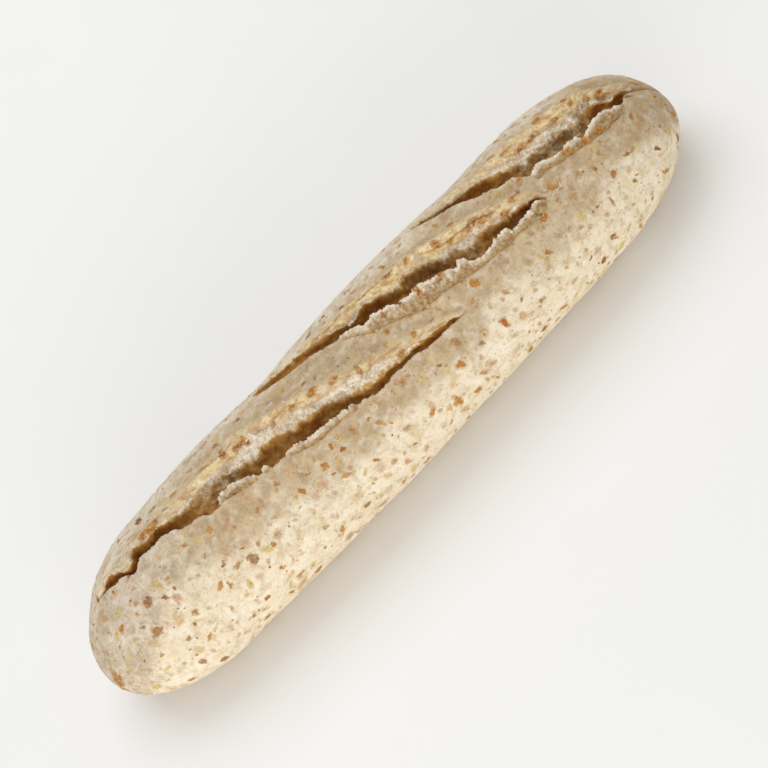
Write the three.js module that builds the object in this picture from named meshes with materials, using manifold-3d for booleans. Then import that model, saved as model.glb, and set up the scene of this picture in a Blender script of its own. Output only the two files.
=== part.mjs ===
// A part-baked wholemeal baguette with rounded ends, a flat base, three long slashes that opened
// in the oven, and bran flakes standing in its crust. It is one solid.
// Units are millimetres. The loaf runs along X and rests on z = 0, and the raised lips of the
// slashes are on their -Y side.
import * as THREE from 'three';
import { mergeVertices } from 'three/addons/utils/BufferGeometryUtils.js';
import Module from 'manifold-3d';

// Driving dimensions of the loaf.
const LENGTH = 260;
const HALF_WIDTH = 29.5;
const CROWN_HEIGHT = 26; // from the widest line up to the crown
const BELLY_DEPTH = 23.5; // from the widest line down, before the base trims it
const WIDEST_LINE = 22.5; // height of the widest line above the base
const TIP_DROP = 5.5; // how far the widest line sinks at the tips
const WAIST_TAPER = 0.045; // share of the girth lost at TAPER_REACH from the middle
const TAPER_REACH = 80;
const CROWN_POWER = 2.1; // superellipse powers: 2 is an ellipse, more is squarer
const BELLY_POWER = 2.6;
const LEFT_END = { length: 50, power: 2.5 };
const RIGHT_END = { length: 56, power: 2.6 };

// Each slash, by stations along X: where its gap is across the crown (arc length from the top line,
// + towards +Y), how wide the gap is, and how far the crumb slope runs from it up to the ridge.
const SLASHES = [
  [
    { x: -114, across: 8.6, gap: 0.8, slope: 1.5 },
    { x: -100, across: 2.0, gap: 3.0, slope: 5.0 },
    { x: -85, across: 1.1, gap: 3.4, slope: 6.0 },
    { x: -65, across: -6.4, gap: 3.8, slope: 12.0 },
    { x: -45, across: -10.3, gap: 5.5, slope: 15.0 },
    { x: -22, across: -13.8, gap: 6.5, slope: 11.0 },
    { x: -8, across: -18.4, gap: 3.0, slope: 9.5 },
    { x: 12, across: -19.9, gap: 2.4, slope: 5.0 },
    { x: 36, across: -23.2, gap: 0.8, slope: 1.5 },
  ],
  [
    { x: -36, across: 20.5, gap: 0.8, slope: 1.5 },
    { x: -20, across: 11.9, gap: 2.6, slope: 2.8 },
    { x: 0, across: 5.3, gap: 3.2, slope: 4.5 },
    { x: 15, across: 1.8, gap: 4.5, slope: 6.0 },
    { x: 30, across: -2.4, gap: 5.5, slope: 7.0 },
    { x: 45, across: -8.2, gap: 6.5, slope: 9.0 },
    { x: 60, across: -11.7, gap: 5.5, slope: 7.0 },
    { x: 72, across: -13.9, gap: 3.8, slope: 4.5 },
    { x: 80, across: -16.0, gap: 0.8, slope: 1.8 },
  ],
  [
    { x: 38, across: 18.5, gap: 0.8, slope: 1.5 },
    { x: 52, across: 10.0, gap: 2.8, slope: 3.5 },
    { x: 66, across: 4.0, gap: 3.4, slope: 5.5 },
    { x: 80, across: -1.2, gap: 4.0, slope: 9.5 },
    { x: 92, across: -5.3, gap: 4.0, slope: 12.0 },
    { x: 104, across: -6.0, gap: 4.0, slope: 11.5 },
    { x: 112, across: -4.0, gap: 3.6, slope: 7.0 },
    { x: 125, across: -1.0, gap: 0.8, slope: 1.5 },
  ],
];
const SLASH_DEPTH = 8;
const DEPTH_PER_GAP = 2; // a narrow gap is this many times as deep as it is wide
const UNDERCUT = 1.3; // how far the gap reaches in under the lip
const UNDERCUT_AT = 0.6; // the share of the depth where it reaches furthest
const FLOOR_UNDER_LIP = 0.4; // how far in under the lip the floor of the gap starts
const SLOPE_DEPTHS = [
  { along: 0, depth: 0.42 }, // at the edge of the gap, as shares of the slope and of the depth
  { along: 0.4, depth: 0.22 },
  { along: 0.75, depth: 0.08 },
];
const CREST_STANDS = 0.4; // the cut leaves the crust this far above its smooth form
const FULL_SLOPE = 8; // on a narrower slope than this, the ridge and the lip are lower
const STATION_STEP = 2.7; // along a slash
const FADE = 3; // past its last station, a slash runs out of the crust in this length
const FADE_HEIGHT = 1;
const CLEAR = 4; // how far the cutting shape stands above the crust
const FLARE = [0.3, 1]; // how far its two sides lean out up there
const RAGGED = 0.55; // how far the torn edges wander
const CRAG = 0.7; // how far the crumb slope's crags rise and fall

// The crust swells beside a slash: a ridge along the top of the crumb slope, and a low lip.
const RIDGE_RISE = 1.4;
const RIDGE_WIDTH = 4.5;
const LIP_RISE = 0.6;
const LIP_WIDTH = 3.5;

// Broad swellings and dips of the crust: where they are, how high, how long and how wide.
const LOBES = [
  { x: -118, across: 14, rise: -1.2, length: 14, width: 10 },
  { x: -68, across: 23, rise: 0.7, length: 20, width: 12 },
  { x: -27, across: 23, rise: -1.4, length: 13, width: 11 },
  { x: 14, across: 23, rise: 0.4, length: 17, width: 12 },
  { x: 62, across: 23, rise: -0.9, length: 15, width: 11 },
  { x: 118, across: 14, rise: 0.8, length: 12, width: 10 },
  { x: -86, across: -34, rise: -1.3, length: 24, width: 16 },
  { x: -22, across: -36, rise: 0.5, length: 26, width: 16 },
  { x: 102, across: -28, rise: -1.5, length: 18, width: 14 },
];

// How finely the crust is split.
const RINGS = 74;
const TOP_REACH = 28; // arc length each side of the top line that is split finely
const TOP_STEPS = 24;
const SIDE_STEPS = 8; // from TOP_REACH to the middle of the base, each side

// Bran flakes.
const FLAKE_TRIES = 114;
const FLAKE_SIDES = 6;
const FLAKE_LENGTH = [2.6, 4.4];
const FLAKE_ASPECT = [0.5, 0.75];
const FLAKE_STANDS = 0.3; // above the crust
const FLAKE_ROOT = 0.7; // below it
const FLAKE_TAPER = 0.68; // its top outline over its root outline
const FLAKE_CLEAR = 2.2; // from a slash's torn edge
const FLAKE_LOWEST = 7; // no flake is set nearer than this to the base
const FLAKE_FROM_TIP = 2;
const SEED = 20;

const CRUST = new THREE.MeshStandardMaterial({ color: 0xdccdaf, roughness: 0.85, metalness: 0 });

// Numbers from 0 to 1, the same ones each time.
function seededNumbers(seed) {
  let state = seed;
  return () => {
    state = (state + 0x6d2b79f5) | 0;
    let mixed = Math.imul(state ^ (state >>> 15), 1 | state);
    mixed = (mixed + Math.imul(mixed ^ (mixed >>> 7), 61 | mixed)) ^ mixed;
    return ((mixed ^ (mixed >>> 14)) >>> 0) / 4294967296;
  };
}

const between = ([low, high], share) => low + (high - low) * share;
const bump = (distance, width) => Math.exp(-((distance / width) ** 2));

// The position on a list of points that lies at a length along it, as a number of points.
function atLength(lengths, wanted) {
  let i = 1;
  while (i < lengths.length - 1 && lengths[i] < wanted) i += 1;
  const share = (wanted - lengths[i - 1]) / (lengths[i] - lengths[i - 1]);
  return i - 1 + THREE.MathUtils.clamp(share, 0, 1);
}

function lengthsAlong(points) {
  const lengths = [0];
  for (let i = 1; i < points.length; i += 1) {
    lengths.push(lengths[i - 1] + points[i].distanceTo(points[i - 1]));
  }
  return lengths;
}

// The girth at x as a share of the widest: 0 at the tips.
function girth(x) {
  const end = (distance, { length, power }) => {
    const inside = THREE.MathUtils.clamp(1 - distance / length, 0, 1);
    return Math.sqrt(1 - inside ** power);
  };
  const waist = 1 - WAIST_TAPER * Math.min(1, (x / TAPER_REACH) ** 2);
  return waist * end(x + LENGTH / 2, LEFT_END) * end(LENGTH / 2 - x, RIGHT_END);
}

// The outline of the widest section, where turn is 0 at the crown and runs towards +Y.
function outline(turn) {
  const along = (wave, power) => Math.sign(wave) * Math.abs(wave) ** (2 / power);
  const high = Math.cos(turn) >= 0;
  const power = high ? CROWN_POWER : BELLY_POWER;
  const reach = high ? CROWN_HEIGHT : BELLY_DEPTH;
  return new THREE.Vector2(
    HALF_WIDTH * along(Math.sin(turn), power),
    reach * along(Math.cos(turn), power),
  );
}

const OUTLINE_STEPS = 720;
const outlinePoints = [];
for (let i = 0; i <= OUTLINE_STEPS; i += 1) {
  outlinePoints.push(outline((i / OUTLINE_STEPS) * Math.PI));
}
const outlineLengths = lengthsAlong(outlinePoints);
const HALF_AROUND = outlineLengths[OUTLINE_STEPS];

// The smooth crust at x, around being the arc length from the top line on the widest section.
function smoothCrust(x, around) {
  const index = atLength(outlineLengths, Math.abs(around));
  const point = outline(((index / OUTLINE_STEPS) * Math.PI) * Math.sign(around));
  const share = girth(x);
  const widestLine = WIDEST_LINE - TIP_DROP * (1 - share);
  return new THREE.Vector3(x, point.x * share, widestLine + point.y * share);
}

// A slash's sizes at x, on smooth curves through its stations.
function slashAt(stations, x) {
  const last = stations.length - 1;
  let i = 0;
  while (i < last - 1 && stations[i + 1].x < x) i += 1;
  const span = stations[i + 1].x - stations[i].x;
  const t = THREE.MathUtils.clamp((x - stations[i].x) / span, 0, 1);
  const value = (key) => {
    const slope = (k) => {
      const before = stations[Math.max(k - 1, 0)];
      const after = stations[Math.min(k + 1, last)];
      return (after[key] - before[key]) / (after.x - before.x);
    };
    const from = stations[i][key];
    const to = stations[i + 1][key];
    const cubic = (2 * t ** 3 - 3 * t ** 2) * (from - to) + from;
    return cubic + span * ((t ** 3 - 2 * t ** 2 + t) * slope(i) + (t ** 3 - t ** 2) * slope(i + 1));
  };
  return { across: value('across'), gap: value('gap'), slope: value('slope') };
}

const reaches = (stations, x) => x >= stations[0].x && x <= stations[stations.length - 1].x;

// How far the crust stands out of its smooth form.
function relief(x, around) {
  const across = around * girth(x);
  let rise = 0;
  for (const lobe of LOBES) {
    rise += lobe.rise * bump(x - lobe.x, lobe.length) * bump(across - lobe.across, lobe.width);
  }
  for (const stations of SLASHES) {
    if (reaches(stations, x)) {
      const slash = slashAt(stations, x);
      const beyond = across - slash.across;
      const open = Math.min(1, slash.slope / FULL_SLOPE);
      rise += RIDGE_RISE * open * bump(beyond - slash.slope, RIDGE_WIDTH);
      rise += LIP_RISE * open * bump(beyond + slash.gap / 2, LIP_WIDTH);
    }
  }
  return rise;
}

// A point on the crust, or height above it.
function crust(x, around, height = 0) {
  const step = 0.05;
  const reach = LENGTH / 2 - step;
  const within = THREE.MathUtils.clamp(x, -reach, reach);
  const alongX = smoothCrust(within + step, around).sub(smoothCrust(within - step, around));
  const alongAround = smoothCrust(within, around + step).sub(smoothCrust(within, around - step));
  const normal = alongAround.cross(alongX).normalize().negate();
  const point = smoothCrust(x, around).addScaledVector(normal, relief(x, around) + height);
  return { point, normal };
}

// Solids are closed meshes for manifold-3d.
const wasm = await Module();
wasm.setup();

function solidOf(geometry) {
  geometry.deleteAttribute('normal');
  geometry.deleteAttribute('uv');
  const merged = mergeVertices(geometry, 1e-4);
  return new wasm.Manifold(
    new wasm.Mesh({
      numProp: 3,
      vertProperties: new Float32Array(merged.attributes.position.array),
      triVerts: new Uint32Array(merged.index.array),
    }),
  );
}

function geometryOf(solid) {
  const mesh = solid.getMesh();
  const geometry = new THREE.BufferGeometry();
  geometry.setAttribute('position', new THREE.BufferAttribute(mesh.vertProperties, 3));
  geometry.setIndex(new THREE.BufferAttribute(mesh.triVerts, 1));
  return geometry;
}

// A closed skin over rings of points, each ring with as many, with a point or a fan at each end.
function skin(rings, startPoint, endPoint) {
  const count = rings[0].length;
  const points = [startPoint, ...rings.flat(), endPoint];
  const indices = [];
  const at = (ring, i) => 1 + ring * count + (i % count);
  for (let i = 0; i < count; i += 1) {
    indices.push(0, at(0, i + 1), at(0, i));
    indices.push(points.length - 1, at(rings.length - 1, i), at(rings.length - 1, i + 1));
    for (let ring = 0; ring < rings.length - 1; ring += 1) {
      indices.push(at(ring, i), at(ring, i + 1), at(ring + 1, i + 1));
      indices.push(at(ring, i), at(ring + 1, i + 1), at(ring + 1, i));
    }
  }
  return new THREE.BufferGeometry().setFromPoints(points).setIndex(indices);
}

const middle = (points) =>
  points.reduce((sum, point) => sum.add(point), new THREE.Vector3()).divideScalar(points.length);

// The places of the rings, at even steps along the loaf's side, so that the ends are round.
function ringPlaces() {
  const side = [];
  const steps = 2000;
  for (let i = 0; i <= steps; i += 1) {
    const x = (-LENGTH / 2) * Math.cos((i / steps) * Math.PI);
    side.push(new THREE.Vector2(x, HALF_WIDTH * girth(x)));
  }
  const lengths = lengthsAlong(side);
  const places = [];
  for (let ring = 1; ring < RINGS; ring += 1) {
    const index = atLength(lengths, (lengths[steps] * ring) / RINGS);
    places.push((-LENGTH / 2) * Math.cos((index / steps) * Math.PI));
  }
  return places;
}

// The places around a section, from the middle of the base over the +Y side and back.
function placesAround() {
  const places = [];
  for (let i = 0; i < SIDE_STEPS; i += 1) {
    places.push(HALF_AROUND - ((HALF_AROUND - TOP_REACH) * i) / SIDE_STEPS);
  }
  for (let i = 0; i < TOP_STEPS; i += 1) {
    places.push(TOP_REACH - (2 * TOP_REACH * i) / TOP_STEPS);
  }
  for (let i = 0; i < SIDE_STEPS; i += 1) {
    places.push(-TOP_REACH - ((HALF_AROUND - TOP_REACH) * i) / SIDE_STEPS);
  }
  return places;
}

function loaf() {
  const around = placesAround();
  const rings = ringPlaces().map((x) =>
    around.map((place) => {
      const { point } = crust(x, place);
      point.z = Math.max(point.z, 0);
      return point;
    }),
  );
  const tipHeight = WIDEST_LINE - TIP_DROP;
  const leftTip = new THREE.Vector3(-LENGTH / 2, 0, tipHeight);
  const rightTip = new THREE.Vector3(LENGTH / 2, 0, tipHeight);
  return solidOf(skin(rings, leftTip, rightTip));
}

// What a slash takes out of the loaf: a ragged lip, an undercut gap and a craggy slope.
function slashCut(stations, random) {
  const wander = (size) => size * (2 * random() - 1);
  const first = stations[0].x;
  const last = stations[stations.length - 1].x;
  const steps = Math.round((last - first) / STATION_STEP);
  const rings = [];
  for (let i = -1; i <= steps + 1; i += 1) {
    const faded = i < 0 || i > steps;
    const x = first + ((last - first) * THREE.MathUtils.clamp(i, 0, steps)) / steps;
    const { across, gap, slope } = slashAt(stations, x);
    const depth = Math.min(SLASH_DEPTH, DEPTH_PER_GAP * gap);
    const open = depth / SLASH_DEPTH;
    const lip = -gap / 2 + wander(RAGGED * open);
    const foot = gap / 2 + wander(RAGGED * open);
    const crest = slope + wander(RAGGED * open);
    const slopePoints = SLOPE_DEPTHS.map((point) => [
      foot + point.along * (crest - foot),
      -point.depth * depth + wander(CRAG * open),
    ]);
    const profile = [
      [lip - FLARE[0], CLEAR],
      [lip, 0],
      [lip - UNDERCUT * open, -UNDERCUT_AT * depth],
      [lip - FLOOR_UNDER_LIP * open, -depth],
      ...slopePoints,
      [crest, CREST_STANDS],
      [crest + FLARE[1], CLEAR],
    ];
    const shift = faded ? Math.sign(i) * FADE : 0;
    rings.push(
      profile.map(([offset, height]) => {
        const place = (across + offset) / girth(x);
        const lift = faded ? Math.max(height, FADE_HEIGHT) : height;
        return crust(x + shift, place, lift).point;
      }),
    );
  }
  return solidOf(skin(rings, middle(rings[0]), middle(rings[rings.length - 1])));
}

// The share-th point of the sequence in a base, which fills 0 to 1 evenly.
function evenly(index, base) {
  let value = 0;
  let share = 1 / base;
  for (let rest = index; rest > 0; rest = Math.floor(rest / base)) {
    value += share * (rest % base);
    share /= base;
  }
  return value;
}

function nearSlash(x, across) {
  return SLASHES.some((stations) => {
    if (!reaches(stations, x)) return false;
    const slash = slashAt(stations, x);
    const beyond = across - slash.across;
    return beyond > -slash.gap / 2 - FLAKE_CLEAR && beyond < slash.slope + FLAKE_CLEAR;
  });
}

function flake(x, around, random) {
  const { point, normal } = crust(x, around);
  const turn = random() * Math.PI;
  const alongX = new THREE.Vector3(1, 0, 0).projectOnPlane(normal).normalize();
  const long = alongX.applyAxisAngle(normal, turn);
  const wide = new THREE.Vector3().crossVectors(normal, long);
  const length = between(FLAKE_LENGTH, random()) / 2;
  const width = length * between(FLAKE_ASPECT, random());
  const corners = [];
  for (let i = 0; i < FLAKE_SIDES; i += 1) {
    const angle = ((i + 0.5 * random()) / FLAKE_SIDES) * 2 * Math.PI;
    corners.push([length * Math.cos(angle), width * Math.sin(angle)]);
  }
  const ring = (share, height) =>
    corners.map(([a, b]) =>
      point
        .clone()
        .addScaledVector(long, a * share)
        .addScaledVector(wide, b * share)
        .addScaledVector(normal, height),
    );
  const root = ring(1, -FLAKE_ROOT);
  const top = ring(FLAKE_TAPER, FLAKE_STANDS);
  return solidOf(skin([root, top], middle(root), middle(top)));
}

function flakes(random) {
  const places = ringPlaces();
  const made = [];
  for (let i = 1; i <= FLAKE_TRIES; i += 1) {
    const x = places[Math.floor(evenly(i, 2) * places.length)];
    const around = (2 * evenly(i, 3) - 1) * HALF_AROUND;
    const { point } = crust(x, around);
    const across = around * girth(x);
    const offTip = Math.abs(x) < LENGTH / 2 - FLAKE_FROM_TIP;
    if (offTip && point.z > FLAKE_LOWEST && !nearSlash(x, across)) {
      made.push(flake(x, around, random));
    }
  }
  return made;
}

const random = seededNumbers(SEED);
let bread = loaf();
for (const stations of SLASHES) {
  bread = bread.subtract(slashCut(stations, random));
}
for (const one of flakes(random)) {
  bread = bread.add(one);
}
const pieces = bread.decompose().sort((a, b) => b.volume() - a.volume());

const geometry = geometryOf(pieces[0]);
geometry.computeBoundingBox();
const box = geometry.boundingBox;
geometry.translate(
  -(box.min.x + box.max.x) / 2,
  -(box.min.y + box.max.y) / 2,
  -box.min.z,
);

const baguette = new THREE.Mesh(geometry, CRUST);
baguette.name = 'baguette';

const group = new THREE.Group();
group.add(baguette);

export default group;
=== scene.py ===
"""A part-baked wholemeal baguette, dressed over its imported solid. Lengths are in millimetres until a
mesh, a light or the camera is made, where they become metres."""

import math

import bpy
import numpy as np
from mathutils import Matrix, Vector


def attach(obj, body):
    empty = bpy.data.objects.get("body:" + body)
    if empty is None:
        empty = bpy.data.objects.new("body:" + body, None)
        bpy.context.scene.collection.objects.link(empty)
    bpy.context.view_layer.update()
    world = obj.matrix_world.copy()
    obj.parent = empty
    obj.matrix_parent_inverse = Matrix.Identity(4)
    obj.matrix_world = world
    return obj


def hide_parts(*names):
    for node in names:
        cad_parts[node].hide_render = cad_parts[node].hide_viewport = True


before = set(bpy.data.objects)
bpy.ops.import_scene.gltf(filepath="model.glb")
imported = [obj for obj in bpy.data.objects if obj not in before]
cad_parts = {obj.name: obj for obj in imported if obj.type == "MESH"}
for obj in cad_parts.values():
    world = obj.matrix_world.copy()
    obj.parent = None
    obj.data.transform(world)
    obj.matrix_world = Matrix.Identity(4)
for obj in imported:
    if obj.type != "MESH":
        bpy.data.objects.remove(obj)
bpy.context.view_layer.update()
NODE = "baguette"
MM = 0.001

# ---------------------------------------------------------------- the loaf's driving dimensions
LENGTH = 260
HALF_WIDTH = 29.5
CROWN_HEIGHT = 26
BELLY_DEPTH = 23.5
WIDEST_LINE = 22.5
TIP_DROP = 5.5  # how far the widest line sinks at the tips
WAIST_TAPER, TAPER_REACH = 0.045, 80
CROWN_POWER, BELLY_POWER = 2.1, 2.6
LEFT_END = (50, 2.5)  # the length it rounds off in, and its power
RIGHT_END = (56, 2.6)

# Each slash, by rows that start with x. "Across" is the arc length from the top line, + towards +Y.
# stations: where its gap is across the crown, the gap's width, the width of the crumb slope beyond it.
# lip, foot: where the gap's ragged near and far edges are across the crown.
# crease: the same for the line that the torn band on the near side starts from.
# pocket: how much the far edge overhangs, from 0 to 1.
# fluff, brown: how far up the slope the white crumb and the gap's brown and painted shade reach, from 0 to
# 1.
# gold: how yellow the stretched ridge is. grey: how grey and woolly the crumb in the gap is.
# shade: how strong the painted shade over the low part of the torn band is.
# bridges: length, and the share by which torn crumb fills the gap there.
# Most places across the crown in stations, lip, foot and crease aren't chosen by hand. They were worked out
# from readings off the photo, on a simpler or earlier crust, and this file can't do it again.
LEFT_SLASH = {
    "stations": [
        (-114, 8.6, 0.8, 1.5), (-100, 2, 3, 5), (-85, 1.1, 3.4, 6), (-65, -6.4, 3.8, 12),
        (-45, -10.3, 5.5, 15), (-22, -13.8, 6.5, 11), (-8, -18.4, 3, 9.5), (12, -19.9, 2.4, 5),
        (36, -23.2, 0.8, 1.5),
    ],
    "crease": [
        (-64.7, -8.3), (-60.8, -8.5), (-56.8, -9.8), (-53.9, -10.8), (-49.9, -11.9), (-47, -12.2),
        (-44, -13), (-39.1, -13.9), (-37.1, -14.2), (-35.2, -14.9), (-32.2, -16.4), (-28.4, -17.6),
        (-23.4, -18.4), (-17.6, -18.6), (-14.7, -19.2), (-11.7, -19.8), (-7.8, -20.1), (-4.8, -20.2),
    ],
    "lip": [
        (-104.7, 3.2), (-102.6, 2.5), (-100.5, 1), (-99.5, -0.2), (-98, -1.4), (-96.5, -1.4), (-95, -0.3),
        (-93.5, 0.6), (-92.6, 1), (-90.6, 0.6), (-88.6, 0.1), (-86.7, -0.3), (-84.7, 0), (-82.7, -0.1),
        (-81.7, -0.7), (-79.7, -1.5), (-78.2, -2.4), (-77.6, -3.7), (-75.7, -4.5), (-72.7, -5),
        (-70.7, -5.5), (-69.2, -6.3), (-67.7, -8), (-66.7, -8.6), (-63.1, -8.6), (-61.8, -6.8),
        (-58.9, -6.2), (-56.9, -6.3), (-54.9, -7.1), (-52.9, -8.3), (-50.9, -8.9), (-49, -10.3),
        (-48, -11.3), (-46.6, -11.7), (-45.5, -10.8), (-44.3, -10.8), (-43.5, -11.8), (-43, -12.9),
        (-39.1, -13.4), (-37.7, -14), (-36.9, -13.1), (-31.2, -13.8), (-30.3, -14.6), (-29.8, -15.1),
        (-26.4, -15.4), (-22.8, -16), (-18.1, -16.4), (-17.2, -17.1), (-15, -16.9), (-13.5, -17.9),
        (-11.7, -17.1), (-10.8, -18.4), (-10.3, -19.4), (-7.1, -18.9), (-6.7, -19.5), (-4.8, -19.6),
        (-3.9, -20.6), (2.2, -20.9), (3.4, -20.3), (6.3, -20.4), (7.8, -20.9), (12.7, -20.8),
        (15.7, -21.4), (16.9, -22.1), (23.8, -22.9), (26.1, -22.4),
    ],
    "foot": [
        (-109, 8.7), (-106, 8.4), (-103.9, 7.5), (-102.3, 5.9), (-100.8, 4.2), (-99.7, 2.6), (-98.2, 2),
        (-96.7, 2.4), (-95.7, 2.8), (-95.2, 3.8), (-93.8, 5.3), (-92.8, 6.2), (-91.8, 5.9), (-90.8, 5.2),
        (-89.8, 4.2), (-88.8, 3.9), (-82.9, 4), (-80.9, 3.5), (-77, 2.3), (-75, 1.1), (-69.1, 0.8),
        (-65.2, 1), (-63.1, 1.4), (-59.1, 0.6), (-56.1, -0.9), (-53.2, -2.5), (-50.2, -4), (-49.2, -4.6),
        (-48.5, -3.8), (-47.2, -4.7), (-43.8, -5.8), (-42.3, -5.3), (-41.4, -3.9), (-39.4, -5.2),
        (-35.4, -5.2), (-33.5, -6.5), (-31.4, -7.3), (-28.8, -8.8), (-24.2, -9.2), (-20.6, -10.1),
        (-16, -11.3), (-14.1, -12.7), (-10.5, -15.2), (-6.8, -16.9), (-4, -17.6), (1, -18.6),
        (6.8, -18.2), (9.2, -18.6), (14.7, -19.2), (19.3, -19.9), (23.8, -20.6), (29.8, -21.8),
    ],
    "pocket": [
        (-112, 1), (-79, 1), (-76, 0.2), (-66, 0), (-50, 0.2), (-42, 0.4), (-30, 0.3), (-15, 0.1),
        (10, 0.1), (20, 0.5), (36, 0.6),
    ],
    "fluff": [
        (-114, 0.1), (-80, 0.12), (-74, 0.4), (-62, 0.2), (-50, 0.5), (-44, 0.66), (-28, 0.6),
        (-20, 0.45), (-10, 0.75), (4, 0.75), (14, 0.3), (36, 0),
    ],
    "gold": [
        (-114, 0.1), (-98, 0.2), (-85, 0.4), (-60, 0.8), (-28, 0.9), (-12, 0.6), (10, 0.55), (36, 0.3),
    ],
    "brown": [
        (-114, 0.5), (-80, 0.5), (-72, 0.35), (-64, 0.45), (-55, 0.35), (-48, 0.12), (-20, 0.2), (0, 0.3),
        (36, 0.4),
    ],
    "grey": [
        (-112, 0), (-78, 0), (-69, 0.1), (-65, 0.6), (-60, 0.8), (-54, 0.7), (-50, 0.3), (-40, 0.3),
        (-34, 0.05), (36, 0),
    ],
    "bridges": [(-58, 6, 0.2), (-47, 2, 0.25)],
    "shade": [(-60, 0.9), (0, 0.9)],
}
MIDDLE_SLASH = {
    "stations": [
        (-36, 20.5, 0.8, 1.5), (-20, 11.9, 2.6, 2.8), (0, 5.3, 3.2, 4.5), (15, 1.8, 4.5, 6),
        (30, -2.4, 5.5, 7), (45, -8.2, 6.5, 9), (60, -11.7, 5.5, 7), (72, -13.9, 3.8, 4.5),
        (80, -16, 0.8, 1.8),
    ],
    "crease": [
        (0, 1.6), (2.8, -0.4), (6, -2.7), (8.2, -4.4), (10.2, -6), (12.6, -6.8), (15, -7.8), (18, -9.4),
        (20.8, -10.5), (25.2, -12.7), (26.6, -13.2), (27.6, -12.9), (30.1, -13.5), (36, -14.1),
        (39.1, -14.9), (45.1, -16.4), (51.1, -17.1), (59.5, -18.1), (61.4, -18), (63.1, -17.6),
        (66.1, -18.2), (71.5, -19.1), (75.2, -18.6), (79, -16.5),
    ],
    "lip": [
        (-33, 16), (-27, 12.4), (-20, 8.8), (-14, 7.2), (-9.8, 6.1), (0, 2.4), (1.5, 1.9), (3, 1.1),
        (5.4, 0.4), (6.4, -0.3), (8.2, -0.9), (9.3, -1.9), (10.8, -2.5), (12.1, -2.2), (13, -1.5),
        (14.4, -1.9), (15.2, -2.5), (18.1, -3.6), (19.2, -3.5), (19.9, -4.8), (21.9, -5.8), (22.9, -5.3),
        (25.5, -6.3), (30, -6.6), (33.7, -7.6), (36, -8.2), (38.4, -9.3), (38.9, -10), (40.6, -10.2),
        (41.7, -11.2), (42.8, -11.6), (44.4, -10.1), (46.2, -11.3), (46.5, -12.6), (47.8, -13.9),
        (50.1, -14.8), (55.4, -14.9), (57, -14), (60.1, -14.3), (62.2, -14.2), (62.5, -15.5),
        (64.6, -16.2), (65.5, -15.9), (67, -15.5), (68.9, -15.5), (70, -16), (71.5, -15.5), (72.6, -14.9),
        (75.1, -14.4), (77.3, -14.6),
    ],
    "foot": [
        (-34, 20.6), (-30, 18.6), (-25, 16), (-20, 13.8), (-14, 12), (-9.9, 10.8), (0, 6.8), (2, 6),
        (3.9, 5), (5.2, 4.2), (5.9, 3.2), (8.2, 3.2), (9.4, 3.8), (13.8, 5.2), (14.6, 4.8), (15.3, 4),
        (18.2, 3.2), (19.7, 2.6), (22.2, 1.3), (23, -0.1), (25.6, -0.2), (28.6, 1.1), (30.2, 1.1),
        (32, 0.1), (33.9, -0.3), (37.4, -2.3), (40.9, -4.4), (44.3, -6.2), (48.4, -8.3), (51.3, -9.8),
        (52.8, -9.6), (55.3, -8.3), (59, -8.7), (60.4, -9.6), (61.6, -10.7), (64.8, -11.3), (69.9, -11.1),
        (71.6, -12), (74.1, -12.7), (75.2, -13.3),
    ],
    "pocket": [
        (-36, 0.8), (0, 0.8), (10, 1), (23, 1), (26, 0.6), (38, 0.6), (44, 0.1), (54, 0.1), (56, 0.5),
        (62, 0.5), (70, 0.8), (80, 0.8),
    ],
    "fluff": [(-36, 0.1), (-10, 0.15), (15, 0.12), (40, 0.1), (46, 0.5), (58, 0.5), (66, 0.3), (80, 0.2)],
    "gold": [(-36, 0.1), (-15, 0.7), (0, 1), (40, 1), (60, 0.8), (80, 0.3)],
    "brown": [(-36, 0.5), (0, 0.5), (20, 0.4), (42, 0.35), (50, 0.2), (80, 0.3)],
    "grey": [
        (-36, 0), (6, 0.1), (24, 0.3), (30, 0.4), (40, 0.35), (46, 0.4), (52, 0.35), (60, 0.3), (68, 0.5),
        (71, 0), (80, 0),
    ],
    "bridges": [(-17, 14, 0.55), (24, 2.5, 0.35), (51, 3, 0.35)],
    "shade": [(0, 0.5), (45, 0.7), (58, 1.1), (80, 1.2)],
}
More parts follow.
